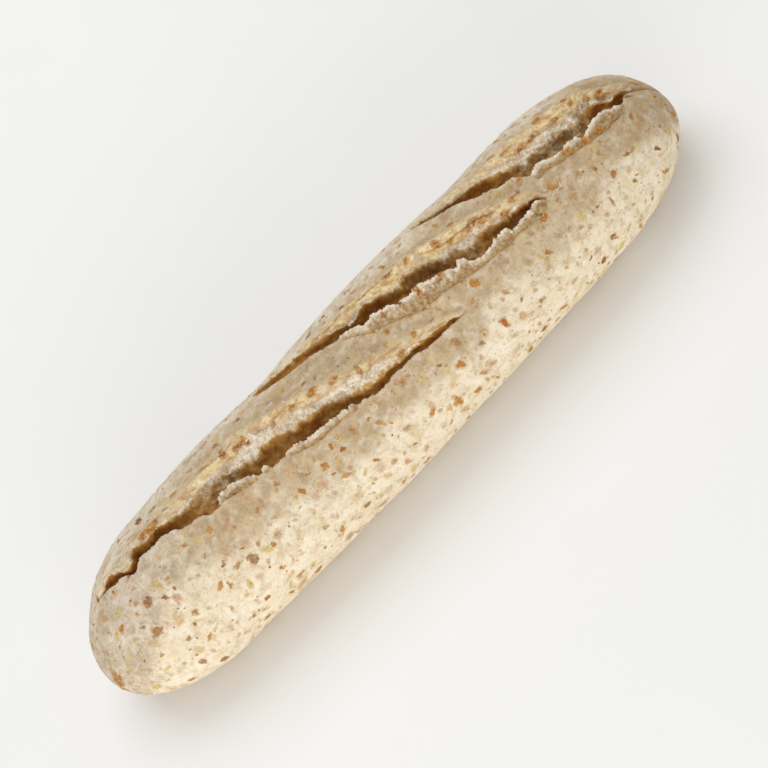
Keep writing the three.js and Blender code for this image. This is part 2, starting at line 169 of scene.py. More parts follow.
RIGHT_SLASH = {
    "stations": [
        (38, 18.5, 0.8, 1.5), (52, 10, 2.8, 3.5), (66, 4, 3.4, 5.5), (80, -1.2, 4, 9.5),
        (92, -5.3, 4, 12), (104, -6, 4, 11.5), (112, -4, 3.6, 7), (125, -1, 0.8, 1.5),
    ],
    "crease": [
        (79, -6.2), (79.9, -6.8), (80.4, -8.7), (81.4, -9.6), (83.8, -9.5), (86.8, -10.1), (89.8, -11),
        (98.9, -11.6), (100.8, -12.2), (103.9, -11.8), (108.5, -11.8), (110.2, -10.5), (112.2, -10.3),
        (114.2, -9.4), (116.5, -8), (118, -6.2),
    ],
    "lip": [
        (49.5, 9.9), (56.6, 6.8), (58.3, 5.7), (60.7, 4.1), (63.6, 2.1), (64.5, 1.6), (65.7, 1.7),
        (66.5, 1), (68.3, 0.4), (70.4, -1.4), (72.5, -2.2), (75.9, -2.5), (76.6, -3.8), (79, -6.2),
        (80.9, -7.2), (83.6, -6.5), (85.1, -6.8), (88, -7.8), (89.8, -8.3), (92.8, -8.5), (94, -8.2),
        (95.8, -8.4), (98.5, -8), (98.9, -9.1), (99.2, -10.2), (100.2, -9.8), (103.3, -8.3),
        (105.3, -7.7), (108.7, -6.3), (110.3, -6.5), (113, -7.2), (114.5, -7.1), (116.2, -6.6),
        (118.5, -5.3), (120.2, -4.5),
    ],
    "foot": [
        (56.7, 9.3), (63.3, 8.2), (67, 7), (68.8, 6.5), (69.9, 5.8), (72.9, 3.8), (76.5, 1.5),
        (80.1, -0.1), (81.9, -0.8), (85.7, -0.3), (87.5, -1.2), (90.6, -2.1), (92.5, -1.2), (95.7, -0.7),
        (97.7, -1.3), (99.3, -3), (100, -4.1), (102, -4), (104.5, -2), (106.7, -1.6), (108.5, -0.3),
        (110.2, -1), (113, -2.1), (115.4, -3.6), (116.8, -2.4), (117.5, -2.2), (118.1, -3),
    ],
    "pocket": [
        (38, 0.8), (68, 0.7), (76, 0.5), (80, 0.3), (100, 0.1), (107, 0.1), (109, 0.6), (113, 0.5),
        (118, 0.9), (125, 0.9),
    ],
    "fluff": [(38, 0.1), (60, 0.25), (76, 0.45), (90, 0.5), (108, 0.5), (116, 0.25), (125, 0.1)],
    "gold": [(38, 0.2), (60, 0.8), (90, 1), (112, 0.8), (125, 0.3)],
    "brown": [(38, 0.5), (70, 0.5), (80, 0.3), (95, 0.25), (110, 0.25), (125, 0.4)],
    "grey": [
        (38, 0), (70, 0.1), (76, 0.2), (80, 0.65), (90, 0.8), (100, 0.75), (106, 0.6), (109, 0.1),
        (125, 0),
    ],
    "bridges": [(77, 2.5, 0.35), (101, 2, 0.45)],
    "shade": [(80, 0.9), (100, 1), (112, 1.2), (120, 1.3)],
}
SLASHES = [LEFT_SLASH, MIDDLE_SLASH, RIGHT_SLASH]
SLASH_DEPTH = 8
DEPTH_PER_GAP = 2  # a narrow gap is this many times as deep as it is wide
UNDERCUT = 1.6  # how far the gap reaches in under the lip
END_FADE = 7  # a slash comes up to its full depth in this length
RIDGE_RISE, RIDGE_WIDTH = 1.4, 4.5
LIP_RISE, LIP_WIDTH = 0.6, 3.5
FULL_SLOPE = 8  # on a narrower slope than this, the ridge and the lip are lower
BAND_LIFT = 1.0  # how far a full band rises from its crease to the lip
CREASE_DEPTH = 0.6
LIP_LOWER = 0.6  # the lip is moved this much towards -Y, to make up for how it rises
SHALLOWER = 0.75  # torn crumb leaves this share of the depth that a gap of its width has
GREY_FILLS = 0.25  # where the crumb is grey, up to this share less is left
GOLD_BEYOND = 3  # how far the stretched ridge carries on past its crest
AT_FOOT = 0.5  # how much of the gap's brown and painted shade is left at its foot

# Fine creases and cracks: their places (x, across the crown), width, depth, how dark their painted shade is.
# Most of the places were worked out by another script as well.
CREASES = [
    ([(-121, 10.5), (-114, 8.6), (-108, 6.2)], 0.6, 0.4, 0.3),
    ([(30, -22.4), (36, -23.2), (44, -25)], 0.5, 0.4, 0.3),
    ([(79, -14), (82, -16.1), (84, -17.5), (90, -17.4), (96, -17.4)], 0.5, 0.5, 0.6),
    ([(119, -2.6), (124, -1.4), (126.5, -0.9), (129.2, -0.3)], 0.6, 1, 1),
    ([(-50, 24.5), (-42, 22.2), (-34, 19.8)], 0.6, 0.5, 0.4),
    ([(28.5, -13), (27.3, -14.4), (26.5, -17.1), (24.5, -17.7)], 0.45, 0.7, 0.7),
    ([(21, -10.8), (27.3, -13.5)], 0.4, 0.4, 0.3),
    ([(-4, 9.6), (5, 8.6), (12, 7.9), (18, 6.9), (23, 6), (27, 5.4)], 0.4, 0.6, 0.9),
    ([(-96, 7.8), (-88, 7.4), (-82, 6.8), (-76, 6)], 0.45, 0.5, 0.8),
    ([(-67, 6), (-58, 5.3), (-50, 3.8), (-46, 2.1)], 0.5, 0.5, 0.6),
    ([(-38, -0.5), (-30, -1.8), (-26, -2.2), (-21, -5.2)], 0.4, 0.5, 0.7),
    ([(40, 0.4), (46, -2.2), (52, -3.4), (58, -4.6), (64, -7.5)], 0.4, 0.5, 0.7),
    ([(84, 4), (92, 3.2), (100, 2.3), (108, 1.1)], 0.5, 0.4, 0.5),
    ([(105, 10), (112, 8), (118, 3.8)], 0.5, 0.5, 0.5),
    ([(-88, -4.5), (-84, -6.9), (-79, -8.3)], 0.6, 0.3, 0.25),
]

# Patches browned orange, and rust-brown hollows: x, place across the crown, half length, half width.
# About half of the places are as another script worked them out, or close to it.
BROWNED = [
    (-85, 5.2, 4.6, 1.1), (-43.3, 1, 1.5, 2.1), (-51.2, 3.4, 1.5, 1.7), (-46.2, 1.9, 2, 1.7),
    (-33.4, -2.5, 1.1, 0.9), (25.6, 5, 2.2, 0.8), (33.5, 3.2, 1.1, 1), (43.8, -0.5, 1.4, 1.6),
    (47.8, -3, 2.2, 1), (51.2, 1, 1.2, 1.3), (59.4, -6.2, 2, 1.2), (62.3, -6.8, 2, 1), (55.5, -4.4, 3, 1),
    (64.7, -9.6, 1.8, 0.9), (70.6, -8.4, 2.2, 0.9), (73.4, -7.8, 0.8, 1.6), (76.7, -4.9, 1.8, 0.8),
    (94.5, 6.6, 2.2, 1.6), (98.6, 3, 2, 0.9), (104.9, 5.8, 1.2, 0.9), (113.8, 1.2, 2, 1.2),
    (87, 3.3, 2.6, 1.1), (80.5, 6.8, 3.2, 0.7), (105.6, 3.9, 1, 0.8), (110, 1.8, 1.3, 0.8),
    (75.5, 10, 2, 1.2), (83.5, 3.9, 3, 0.9), (90.5, 3.8, 2.6, 0.9), (-17, -5.5, 3, 1.1),
    (-10, -8.4, 2.2, 0.9), (-25, -3.6, 3, 0.8), (115.2, -0.6, 1.6, 0.8), (98.7, -14.3, 1.1, 0.9),
    (81.8, -14.3, 1.5, 1.6), (83.4, -16.1, 2, 1.2), (22.2, -7.5, 0.9, 1.8), (29.1, -8.1, 1.1, 2.1),
    (36.8, -10.2, 2, 0.9), (15.7, -5, 0.9, 1), (12.8, -9.2, 1, 1.3), (-19.6, -10.4, 2.5, 1),
    (-1.9, -11.7, 1.1, 2.1), (10.8, -17.4, 1.8, 1), (18.1, -16.4, 1.1, 1.3), (4.9, -23.6, 2, 1.6),
    (-17.1, -22.9, 1.1, 1.3), (-126.8, -10, 2.2, 3), (93, -9.8, 2.2, 0.6), (99.5, -10.8, 2.4, 0.7),
    (105, -10.7, 2, 0.6),
]
RUSTY = [
    (-105.8, 6, 2.5, 0.9), (-98.5, -0.5, 2.5, 0.9), (-93.5, 3.8, 2.4, 1.8), (-88.5, 2.2, 4, 0.7),
    (-79.5, 0.5, 3, 1.4), (-70, -3.1, 3, 1.4), (-64, -4.6, 1.6, 1.8), (-50, -8.6, 2.2, 0.7),
    (-47.8, -9.9, 1.2, 0.9), (-41.3, -5.6, 1.2, 1), (-27.4, -12.2, 7, 1.4), (-0.9, -19.9, 2.5, 0.7),
    (22, -21.7, 1.8, 0.8), (24.6, -21.9, 2, 0.6), (8, 2.2, 2.6, 1.2), (18.2, 2, 3.2, 1.2),
    (35.4, -3.2, 2.8, 1.2), (42.8, -8.2, 1.8, 1), (56, -9.4, 1.6, 1.1), (70.8, -12.7, 1.4, 1.8),
    (74.1, -13.4, 1.3, 0.9), (59.5, 7.6, 4, 1), (66.6, 5, 3, 1.2), (75.8, -0.2, 1.5, 1.2),
    (78.4, 0.2, 1.8, 1), (109.6, -1.8, 1.8, 1.1), (117.6, -3.8, 2, 1), (120.2, -4.3, 1.6, 0.6),
]

# Broad swellings and dips of the crust: x, place across the crown, rise, length, width.
LOBES = [
    (-118, 14, -1.2, 14, 10), (-68, 23, 0.7, 20, 12), (-27, 23, -1.4, 13, 11), (14, 23, 0.4, 17, 12),
    (62, 23, -0.9, 15, 11), (118, 14, 0.8, 12, 10), (-86, -34, -1.3, 24, 16), (-22, -36, 0.5, 26, 16),
    (102, -28, -1.5, 18, 14),
]

# The tanned part of the crown. Near edge: x, its middle across the crown, the width it fades in.
# Far edge: x, its place across the crown.
TAN_NEAR = [
    (-130, -27, 13), (-116, -23, 13), (-104, -18, 13), (-85, -13.5, 13), (-65, -20.5, 11),
    (-45, -25.5, 7), (-33, -26.5, 7), (-18, -31, 7), (0, -34, 8), (22, -34, 8), (40, -28.5, 9),
    (60, -27.5, 10), (80, -27, 11), (100, -25, 12), (130, -18, 13),
]
TAN_FAR = [(-130, 6), (-90, 8), (-60, 15), (130, 15)]
ASHEN_FAR, ASHEN_LEFT = 8, -66  # the skin is greyer from here on: across the crown, and along it

# ---------------------------------------------------------------- how finely it is made
RINGS = 300
LINES = 150
SPLIT = 3  # cells that a slash crosses are cut in this many along the loaf
COARSE, FINE = 2.2, 0.3  # spacing of the lines, away from the slashes and on them
PROFILE_STEPS = 4001  # places at which the loaf's side is measured
EVEN_STEPS = (0.7548776662, 0.5698402910)  # multiples of these, less whole numbers, fill a square evenly
CHIP_CUTS = 5  # straight cuts that a bran chip's outline is broken by
CHIP_RINGS = [(1, -0.06, 1), (0.78, 0.35, 0.75), (0.52, 0.95, 0.45), (0.22, 1, 0.15)]  # reach, height, rim
CHIP_ROOT = -0.4  # where a chip's underside is


# ---------------------------------------------------------------- noise
def lattice(cell, seed):
    """A number from 0 to 1 for each whole-number point."""
    c = cell.astype(np.int64).astype(np.uint32)
    h = c[..., 0] * np.uint32(73856093) ^ c[..., 1] * np.uint32(19349663) ^ c[..., 2] * np.uint32(83492791)
    h ^= np.uint32(seed * 2654435761 % 4294967296)
    h ^= h >> np.uint32(16)
    h *= np.uint32(0x7FEB352D)
    h ^= h >> np.uint32(15)
    h *= np.uint32(0x846CA68B)
    h ^= h >> np.uint32(16)
    return h / 4294967295.0


def noise(points, size, seed=0):
    """Smooth noise from -1 to 1, with features of about this size."""
    p = points / size
    cell = np.floor(p)
    f = p - cell
    f = f * f * f * (f * (f * 6 - 15) + 10)
    total = 0
    for dx in (0, 1):
        for dy in (0, 1):
            for dz in (0, 1):
                weight = (f[..., 0] if dx else 1 - f[..., 0])
                weight = weight * (f[..., 1] if dy else 1 - f[..., 1])
                weight = weight * (f[..., 2] if dz else 1 - f[..., 2])
                total = total + weight * lattice(cell + (dx, dy, dz), seed)
    return total * 2 - 1


def rough(points, size, octaves, seed=0):
    """Noise with finer and weaker copies of itself."""
    total, strength, most = 0, 1, 0
    for i in range(octaves):
        total = total + strength * noise(points, size / 2**i, seed + i)
        most += strength
        strength *= 0.55
    return total / most


def along(x, size, octaves, seed):
    """Rough noise along X alone."""
    points = np.stack([x, np.full_like(x, 0.5), np.full_like(x, 0.5)], -1)
    return rough(points, size, octaves, seed)


def steps(x, size, seed):
    """Values from -1 to 1 along X that hold for about this long, then change within a fifth of it."""
    p = x / size + 0.3 * along(x, size * 2, 1, seed + 5)
    cell = np.floor(p)
    share = smooth((p - cell - 0.4) * 5)
    flat = np.zeros_like(x)
    here, there = (lattice(np.stack([cell + k, flat, flat], -1), seed) for k in (0, 1))
    return (here * (1 - share) + there * share) * 2 - 1


# ---------------------------------------------------------------- the smooth crust
def smooth(share):
    share = np.clip(share, 0, 1)
    return share * share * (3 - 2 * share)


def bump(distance, width):
    return np.exp(-((distance / width) ** 2))


def girth(x):
    def end(distance, length, power):
        return np.sqrt(1 - np.clip(1 - distance / length, 0, 1) ** power)

    waist = 1 - WAIST_TAPER * np.minimum(1, (x / TAPER_REACH) ** 2)
    return waist * end(x + LENGTH / 2, *LEFT_END) * end(LENGTH / 2 - x, *RIGHT_END)


def outline(turn):
    """(y, z) of the widest section about its widest line. turn is 0 at the crown, + towards +Y."""
    high = np.cos(turn) >= 0
    power = 2 / np.where(high, CROWN_POWER, BELLY_POWER)
    reach = np.where(high, CROWN_HEIGHT, BELLY_DEPTH)
    y = HALF_WIDTH * np.sign(np.sin(turn)) * np.abs(np.sin(turn)) ** power
    z = reach * np.sign(np.cos(turn)) * np.abs(np.cos(turn)) ** power
    return y, z


OUTLINE_TURNS = np.linspace(0, np.pi, 721)
_y, _z = outline(OUTLINE_TURNS)
OUTLINE_LENGTHS = np.concatenate([[0], np.cumsum(np.hypot(np.diff(_y), np.diff(_z)))])
HALF_AROUND = OUTLINE_LENGTHS[-1]


def smooth_crust(x, around):
    """Points of the crust with no relief, around being the arc length from the top line."""
    turn = np.interp(np.abs(around), OUTLINE_LENGTHS, OUTLINE_TURNS) * np.sign(around)
    y, z = outline(turn)
    share = girth(x)
    widest_line = WIDEST_LINE - TIP_DROP * (1 - share)
    return np.stack(np.broadcast_arrays(x, y * share, widest_line + z * share), -1)


def unit(vectors):
    return vectors / np.maximum(np.linalg.norm(vectors, axis=-1, keepdims=True), 1e-9)


def directions(x, around):
    """The smooth crust's outward normal, and the way across it towards +Y."""
    step = 0.05
    within = np.clip(x, -LENGTH / 2 + step, LENGTH / 2 - step)
    along_x = smooth_crust(within + step, around) - smooth_crust(within - step, around)
    across = smooth_crust(within, around + step) - smooth_crust(within, around - step)
    return unit(np.cross(along_x, across)), unit(across)


def through(v, places, values):
    """The height at v of the broken line through these places and values."""
    total = values[0] + 0 * v
    for i in range(len(places) - 1):
        span = np.maximum(places[i + 1] - places[i], 1e-3)
        total = total + (values[i + 1] - values[i]) * np.clip((v - places[i]) / span, 0, 1)
    return total


# ---------------------------------------------------------------- slashes
def station(rows, x, column):
    """A smooth curve through the stations, as in the solid."""
    xs = np.array([row[0] for row in rows], float)
    ys = np.array([row[column] for row in rows], float)
    before, after = np.r_[0, : len(xs) - 1], np.r_[1 : len(xs), len(xs) - 1]
    slopes = (ys[after] - ys[before]) / (xs[after] - xs[before])
    i = np.clip(np.searchsorted(xs, x) - 1, 0, len(xs) - 2)
    span = xs[i + 1] - xs[i]
    t = np.clip((x - xs[i]) / span, 0, 1)
    cubic = (2 * t**3 - 3 * t**2) * (ys[i] - ys[i + 1]) + ys[i]
    return cubic + span * ((t**3 - 2 * t**2 + t) * slopes[i] + (t**3 - t**2) * slopes[i + 1])


def table(rows, x):
    xs, values = zip(*rows)
    return np.interp(x, xs, values)


def followed(rows, x, nominal):
    """The line through these places where they reach, and the smooth one beyond them."""
    share = smooth((x - rows[0][0]) / 3) * smooth((rows[-1][0] - x) / 3)
    return nominal + (table(rows, x) - nominal) * share


def spikes(x, size, seed):
    """Fine teeth along X, from -1 to 1, with sharp tips."""
    return 1 - 3.2 * np.abs(along(x, size, 2, seed))


def slash_sizes(slash, x):
    """Everything about a slash that changes along it."""
    rows = slash["stations"]
    seed = int(rows[0][0]) + 500
    fade = smooth((x - rows[0][0]) / END_FADE) * smooth((rows[-1][0] - x) / END_FADE)
    centre, gap, slope = (station(rows, x, k) for k in (1, 2, 3))
    full_depth = np.minimum(SLASH_DEPTH, DEPTH_PER_GAP * gap) * fade
    depth = full_depth * (SHALLOWER - GREY_FILLS * table(slash["grey"], x))
    for at, length, share in slash["bridges"]:
        depth = depth * (1 - share * bump(x - at, length))
    opening = full_depth / SLASH_DEPTH
    teeth = 0.25 * along(x, 2.0, 2, seed) + 0.35 * spikes(x, 1.0, seed + 10)
    swell = np.minimum(1, slope / FULL_SLOPE) * fade
    even_lip = followed(slash["lip"], x, centre - gap / 2) - centre - LIP_LOWER * swell
    lip = even_lip + teeth * opening
    teeth = 0.4 * along(x, 2.0, 2, seed + 20) + 0.3 * spikes(x, 1.3, seed + 30)
    foot = np.maximum(followed(slash["foot"], x, centre + gap / 2) - centre + teeth * opening, lip + 0.6)
    crease = table(slash["crease"], x) - centre
    reach = smooth((x - slash["crease"][0][0]) / 2) * smooth((slash["crease"][-1][0] - x) / 3)
    crest = np.maximum(slope + along(x, 9, 3, seed + 40) * 1.4 * opening, foot + 0.5)
    ragged = 1 + along(x, 2.5, 3, seed + 60)
    return {
        "fade": fade,
        "centre": centre,
        "slope": slope,
        "swell": swell,
        "gap": gap,
        "depth": depth,
        "open": opening,
        "lip": lip,
        "even_lip": even_lip,
        "foot": foot,
        "crest": crest,
        "band": np.maximum(even_lip - crease - 0.25 * ragged, 0) * reach,
        "pocket": table(slash["pocket"], x),
        "grey": np.clip(table(slash["grey"], x) + 0.25 * along(x, 5, 2, seed + 95), 0, 1),
        "fluff": table(slash["fluff"], x) + 0.3 * along(x, 3, 3, seed + 70),
        "brown": table(slash["brown"], x) * (1 + 0.5 * along(x, 4, 3, seed + 90)),
        "gold": table(slash["gold"], x) * fade,
        "shade": table(slash["shade"], x),
        "flap": 1 + 0.8 * steps(x, 3.2, seed + 80),
    }


def slash_heights(s, v):
    """How far the slash alone raises the crust at v, and shifts it across."""
    lip, foot, crest, depth, up = s["lip"], s["foot"], s["crest"], s["depth"], s["open"]
    start, gap = s["even_lip"] - s["band"], foot - lip
    start = np.minimum(start, lip - 0.4)
    torn_band = smooth(s["band"] / 2)
    edge = (BAND_LIFT * torn_band * s["flap"] + 0.2) * up
    under, over = UNDERCUT * up, 0.6 * s["pocket"] * up
    held = 1 - 0.8 * s["pocket"]
    knots = [
        (start - 0.5, 0, 0),
        (start, -CREASE_DEPTH * torn_band * up, 0),
        (start + 0.3 * s["band"], 0.1 * edge, 0),
        (np.minimum(start + 0.7 * s["band"], lip - 0.4), 0.8 * edge, 0.1 * under),
        (lip - 0.3, edge, 0.3 * under),
        (lip, edge - 0.4 * up, 0.35 * under),
        (lip + 0.22 * gap, -0.6 * depth, -under),
        (lip + 0.45 * gap, -depth, -0.6 * under),
        (foot - 0.28 * gap, -0.85 * depth, 0.6 * over),
        (foot, -0.42 * held * depth, -over),
        (foot + 0.4 * (crest - foot), -0.22 * held * depth, -0.4 * over),
        (foot + 0.75 * (crest - foot), -0.08 * depth, 0),
        (crest, 0, 0),
    ]
    places, heights, shifts = zip(*knots)
    return through(v, places, heights), through(v, places, shifts)


def slash_form(slash, x, across):
    """What a slash does to the crust at each place, and the zones that it makes there."""
    s = slash_sizes(slash, x)
    v = across - s["centre"]
    lip, foot, crest = s["lip"], s["foot"], s["crest"]
    start = np.minimum(s["even_lip"] - s["band"], lip - 0.4)
    rise, shift = slash_heights(s, v)
    swell = s["swell"]
    rise = rise + RIDGE_RISE * swell * bump(v - s["slope"], RIDGE_WIDTH)
    rise = rise + LIP_RISE * swell * bump(v + s["gap"] / 2, LIP_WIDTH)
    seen = smooth(s["open"] * 7)
    up_slope = (v - foot) / (crest - foot)
    in_gap = np.clip((v - lip) / (foot - lip), 0, 1)
    into_band = (v - start) / np.maximum(s["band"], 0.5)
    band = seen * smooth(s["band"] / 0.8) * smooth((v - start + 0.5) / 0.5) * smooth((lip + 0.2 - v) / 0.4)
    gap = seen * smooth((v - lip) / 0.3) * smooth((foot + 0.4 - v) / 0.6)
    # The gap's brown crumb with painted shade over it: darkest under the lip, less at the foot, fading up
    # the slope.
    at_foot = AT_FOOT + (0.9 - AT_FOOT) * s["pocket"]
    reach = s["brown"] * (1 - s["pocket"]) + 0.05
    behind = np.where(v < foot, 1 - (1 - at_foot) * in_gap, at_foot * np.clip(1 - up_slope / reach, 0, 1))
    gap_brown_and_shade = seen * smooth(s["open"] * 2) * smooth((v - lip) / 0.3) * behind * (1 - 0.5 * s["grey"])
    fluff = seen * smooth((v - foot + 0.2) / 0.5) * smooth((s["fluff"] - up_slope) / 0.12)
    past_fluff = smooth((up_slope - s["fluff"] + 0.1) / 0.2) * smooth((v - foot) / 0.5)
    ridge = seen * past_fluff * smooth((crest + GOLD_BEYOND - v) / (GOLD_BEYOND + 1))
    return {
        "rise": rise,
        "shift": shift,
        "flow": v,
        "near": seen * (v > start - 1) * (v < crest + GOLD_BEYOND),
        "band": band,
        "gap": gap,
        "gap_brown_and_shade": gap_brown_and_shade,
        "fluff": fluff,
        "ridge": ridge,
        "gold": ridge * s["gold"],
        "rim": seen * bump(v - lip + 0.2, 0.6) * s["open"] * (v < lip + 0.3),
        # Painted shade over the low part of the torn band, strongest at its crease.
        "low_band_shade": s["shade"] * band * np.clip(1 - into_band, 0, 1),
        "groove": seen * smooth(s["band"] / 2) * bump(v - start + 0.1, 0.5),
        "grey": seen * s["grey"] * smooth((v - lip) / 0.5) * smooth((foot + 2.5 - v) / 2),
    }


def path_distance(path, x, across):
    """How far each place is from a path given as (x, across) points."""
    nearest = 99 + 0 * across
    for (x0, a0), (x1, a1) in zip(path, path[1:]):
        dx, da = x1 - x0, a1 - a0
        t = np.clip(((x - x0) * dx + (across - a0) * da) / (dx * dx + da * da), 0, 1)
        nearest = np.minimum(nearest, np.hypot(x - x0 - t * dx, across - a0 - t * da))
    return nearest


ZONES = ("near", "band", "gap", "gap_brown_and_shade", "fluff", "ridge", "gold", "rim", "low_band_shade", "grey", "groove")


def relief(x, around):
    """How far the crust rises, how far it shifts across, and its zones."""
    across = around * girth(x)
    rise = 0 * across
    for at, place, height, length, width in LOBES:
        rise = rise + height * bump(x - at, length) * bump(across - place, width)
    crease_shade = 0 * across
    for path, width, drop, brown in CREASES:
        line = bump(path_distance(path, x, across), width)
        rise, crease_shade = rise - drop * line, np.maximum(crease_shade, brown * line)
    zones = {key: 0 * across for key in ZONES}
    zones["flow"] = across
    shift = 0 * across
    for slash in SLASHES:
        form = slash_form(slash, x, across)
        rise, shift = rise + form["rise"], shift + form["shift"]
        zones["flow"] = np.where(form["near"] > zones["near"], form["flow"], zones["flow"])
        for key in ZONES:
            zones[key] = np.maximum(zones[key], form[key])
    zones["torn"] = np.maximum(zones["gap"], zones["fluff"])
    zones["torn"] = np.maximum(zones["torn"], smooth(zones["gap_brown_and_shade"] * 5))
    skinned = smooth((zones["low_band_shade"] - 0.35) / 0.4)
    zones["torn"] = np.maximum(zones["torn"], zones["band"] * (1 - 0.75 * skinned))
    zones["tan"] = tan_at(x, across)
    # Painted shade in the creases, and along the crease that each torn band starts from.
    zones["crease_shade"] = np.maximum(crease_shade, 0.6 * zones["groove"])
    left = smooth((ASHEN_LEFT - x) / 30) * zones["tan"]
    zones["ash"] = np.maximum(smooth((across - ASHEN_FAR) / 8), left)
    return rise, shift, zones


def tan_at(x, across):
    """Where the crown is tanned, from 0 to 1."""
    spot = np.stack(np.broadcast_arrays(x, across, 0.0), -1)
    uneven = 7 * rough(spot, 16, 2, 31) + 3 * rough(spot, 4, 2, 35)
    middle, width = (table([(row[0], row[k]) for row in TAN_NEAR], x) for k in (1, 2))
    near = smooth((across - middle + 0.8 * uneven) / width + 0.5)
    return near * smooth((table(TAN_FAR, x) - across + uneven + 6) / 13)


def crust(x, around):
    """Points of the crust with its relief, its normals before relief, and its zones."""
    base = smooth_crust(x, around)
    normal, across = directions(x, around)
    rise, shift, zones = relief(x, around)
    off_base = smooth((base[..., 2] - 1) / 5)
    ends = smooth((LENGTH / 2 - np.abs(x)) / 4)
    lumps = 0.28 * rough(base, 14, 2, 3) + 0.1 * rough(base, 3.5, 2, 7)
    rise = rise + lumps * off_base * ends * (1 - zones["torn"])
    points = base + normal * rise[..., None] + across * shift[..., None]
    points[..., 2] = np.maximum(points[..., 2], 0)
    return points, normal, zones


def patches(rows, x, across, broken):
    """Soft patches at these places, from 0 to 1, broken up at their edges."""
    most = 0 * x
    for at, place, length, width in rows:
        most = np.maximum(most, np.exp(-(((x - at) / length) ** 2) - ((across - place) / width) ** 2))
    return smooth((most + broken - 0.38) / 0.4) * smooth(most * 4)


def weave(points, zones):
    """Fine relief of the torn places, and what it does to their colours."""
    x, flow = points[..., 0], zones["flow"]
    drift = flow + 1.2 * rough(points, 6, 2, 51)
    flat = np.full_like(x, 0.5)
    strands = 1 - 2.2 * np.abs(rough(np.stack([x / 6, drift / 0.9, flat], -1), 1, 3, 41))
    folds = 1 - 2.2 * np.abs(rough(np.stack([x / 16, drift / 2.6, flat], -1), 1, 2, 43))
    lumps = rough(points, 3.0, 2, 11)
    warped = points + 0.8 * np.stack([rough(points, 2.0, 2, 60 + k) for k in range(3)], -1)
    tufts = 1 - 2.4 * np.abs(rough(warped, 2.2, 2, 23))
    wisps = 1 - 2.4 * np.abs(rough(warped, 0.9, 2, 27))
    walls = rough(points * (1, 0.4, 0.4), 1.8, 3, 19)
    band, fluff = zones["band"], zones["fluff"]
    soft = np.maximum(fluff, band)
    height = fluff * (1.4 * lumps + 0.25 * tufts + 0.1 * wisps)
    height = np.where(band > fluff, band * (0.4 * lumps + 0.35 * folds + 0.18 * tufts + 0.2 * wisps), height)
    height = height + zones["gap"] * (1 - soft) * (0.7 * walls + 0.9 * lumps)
    height = height + zones["grey"] * (1.0 * lumps + 0.6 * tufts + 0.25 * wisps)
    height = height + zones["ridge"] * (1 - soft) * (0.38 * strands + 0.6 * folds + 0.25 * tufts)
    across = zones["across"]
    broken = 0.5 * rough(points * (0.6, 1, 1), 1.7, 3, 71) + 0.2 * strands
    zones["browned"] = patches(BROWNED, x, across, broken)
    zones["rusty"] = patches(RUSTY, x, across, 0.5 * broken)
    # Painted shade in the low places of the torn crumb's fine relief.
    zones["pit_shade"] = soft * smooth(0.35 - 0.5 * tufts - 0.3 * wisps)
    zones["strand"] = smooth(0.5 + 0.5 * strands)
    thread = smooth((rough(np.stack([x / 5, drift / 0.8, flat + 3], -1), 1, 3, 77) - 0.12) / 0.25)
    zones["thread"] = zones["ridge"] * thread
    return height + 0.3 * zones["browned"] * wisps


# ---------------------------------------------------------------- the loaf's mesh
def ring_places():
    """Places along X at even steps along the loaf's side."""
    x = -LENGTH / 2 * np.cos(np.linspace(0, np.pi, PROFILE_STEPS))
    side = np.concatenate([[0], np.cumsum(np.hypot(np.diff(x), np.diff(HALF_WIDTH * girth(x))))])
    return np.interp(np.arange(1, RINGS) / RINGS * side[-1], side, x)


def line_places(xs):
    """For each ring, places around it, close together where a slash is."""
    fine = np.linspace(-HALF_AROUND, HALF_AROUND, 2401)
    x = xs[:, None]
    across = fine[None] * girth(x)
    density = np.full(across.shape, 1 / COARSE)
    for slash in SLASHES:
        rows = slash["stations"]
        near = smooth((x - rows[0][0] + 6) / 8) * smooth((rows[-1][0] + 6 - x) / 8)
        v = across - station(rows, x, 1)
        low = np.minimum(-station(rows, x, 2) / 2, table(slash["crease"], x) - station(rows, x, 1)) - 2.5
        high = station(rows, x, 3) + 3
        density += near / FINE * smooth((v - low) / 2) * smooth((high - v) / 2)
    density = np.minimum(density, 1 / FINE)
    total = np.cumsum((density[:, 1:] + density[:, :-1]) / 2, axis=1)
    total = np.concatenate([np.zeros((len(xs), 1)), total], 1)
    wanted = np.arange(LINES) / LINES
    return np.stack([np.interp(wanted * row[-1], row, fine) for row in total])


def split_grid(xs, around, split_cells):
    """The grid's places with extra ones along the edges of the split cells, and its faces."""
    rings, lines = around.shape
    edges = split_cells | np.roll(split_cells, 1, 1)
    i, j = np.nonzero(edges)
    extra = np.full(edges.shape, -1)
    extra[i, j] = rings * lines + (SPLIT - 1) * np.arange(len(i))
    share = np.arange(1, SPLIT)[None] / SPLIT
    more_x = xs[i, None] + (xs[i + 1] - xs[i])[:, None] * share
    more_around = around[i, j][:, None] + (around[i + 1, j] - around[i, j])[:, None] * share
    x = np.concatenate([np.repeat(xs, lines), more_x.ravel()])
    places = np.concatenate([around.ravel(), more_around.ravel()])
    faces = []
    extra_list, split_list = extra.tolist(), split_cells.tolist()
    for ring in range(rings - 1):
        for line in range(lines):
            after = (line + 1) % lines
            near = edge_run(ring, line, lines, extra_list)
            far = edge_run(ring, after, lines, extra_list)
            if split_list[ring][line]:
                faces += [(near[k], near[k + 1], far[k + 1], far[k]) for k in range(SPLIT)]
            else:
                faces.append(tuple(near + far[::-1]))
    return x, places, faces


def edge_run(ring, line, lines, extra):
    """The points along one line from a ring to the next."""
    first = extra[ring][line]
    between = [] if first < 0 else list(range(first, first + SPLIT - 1))
    return [ring * lines + line, *between, (ring + 1) * lines + line]


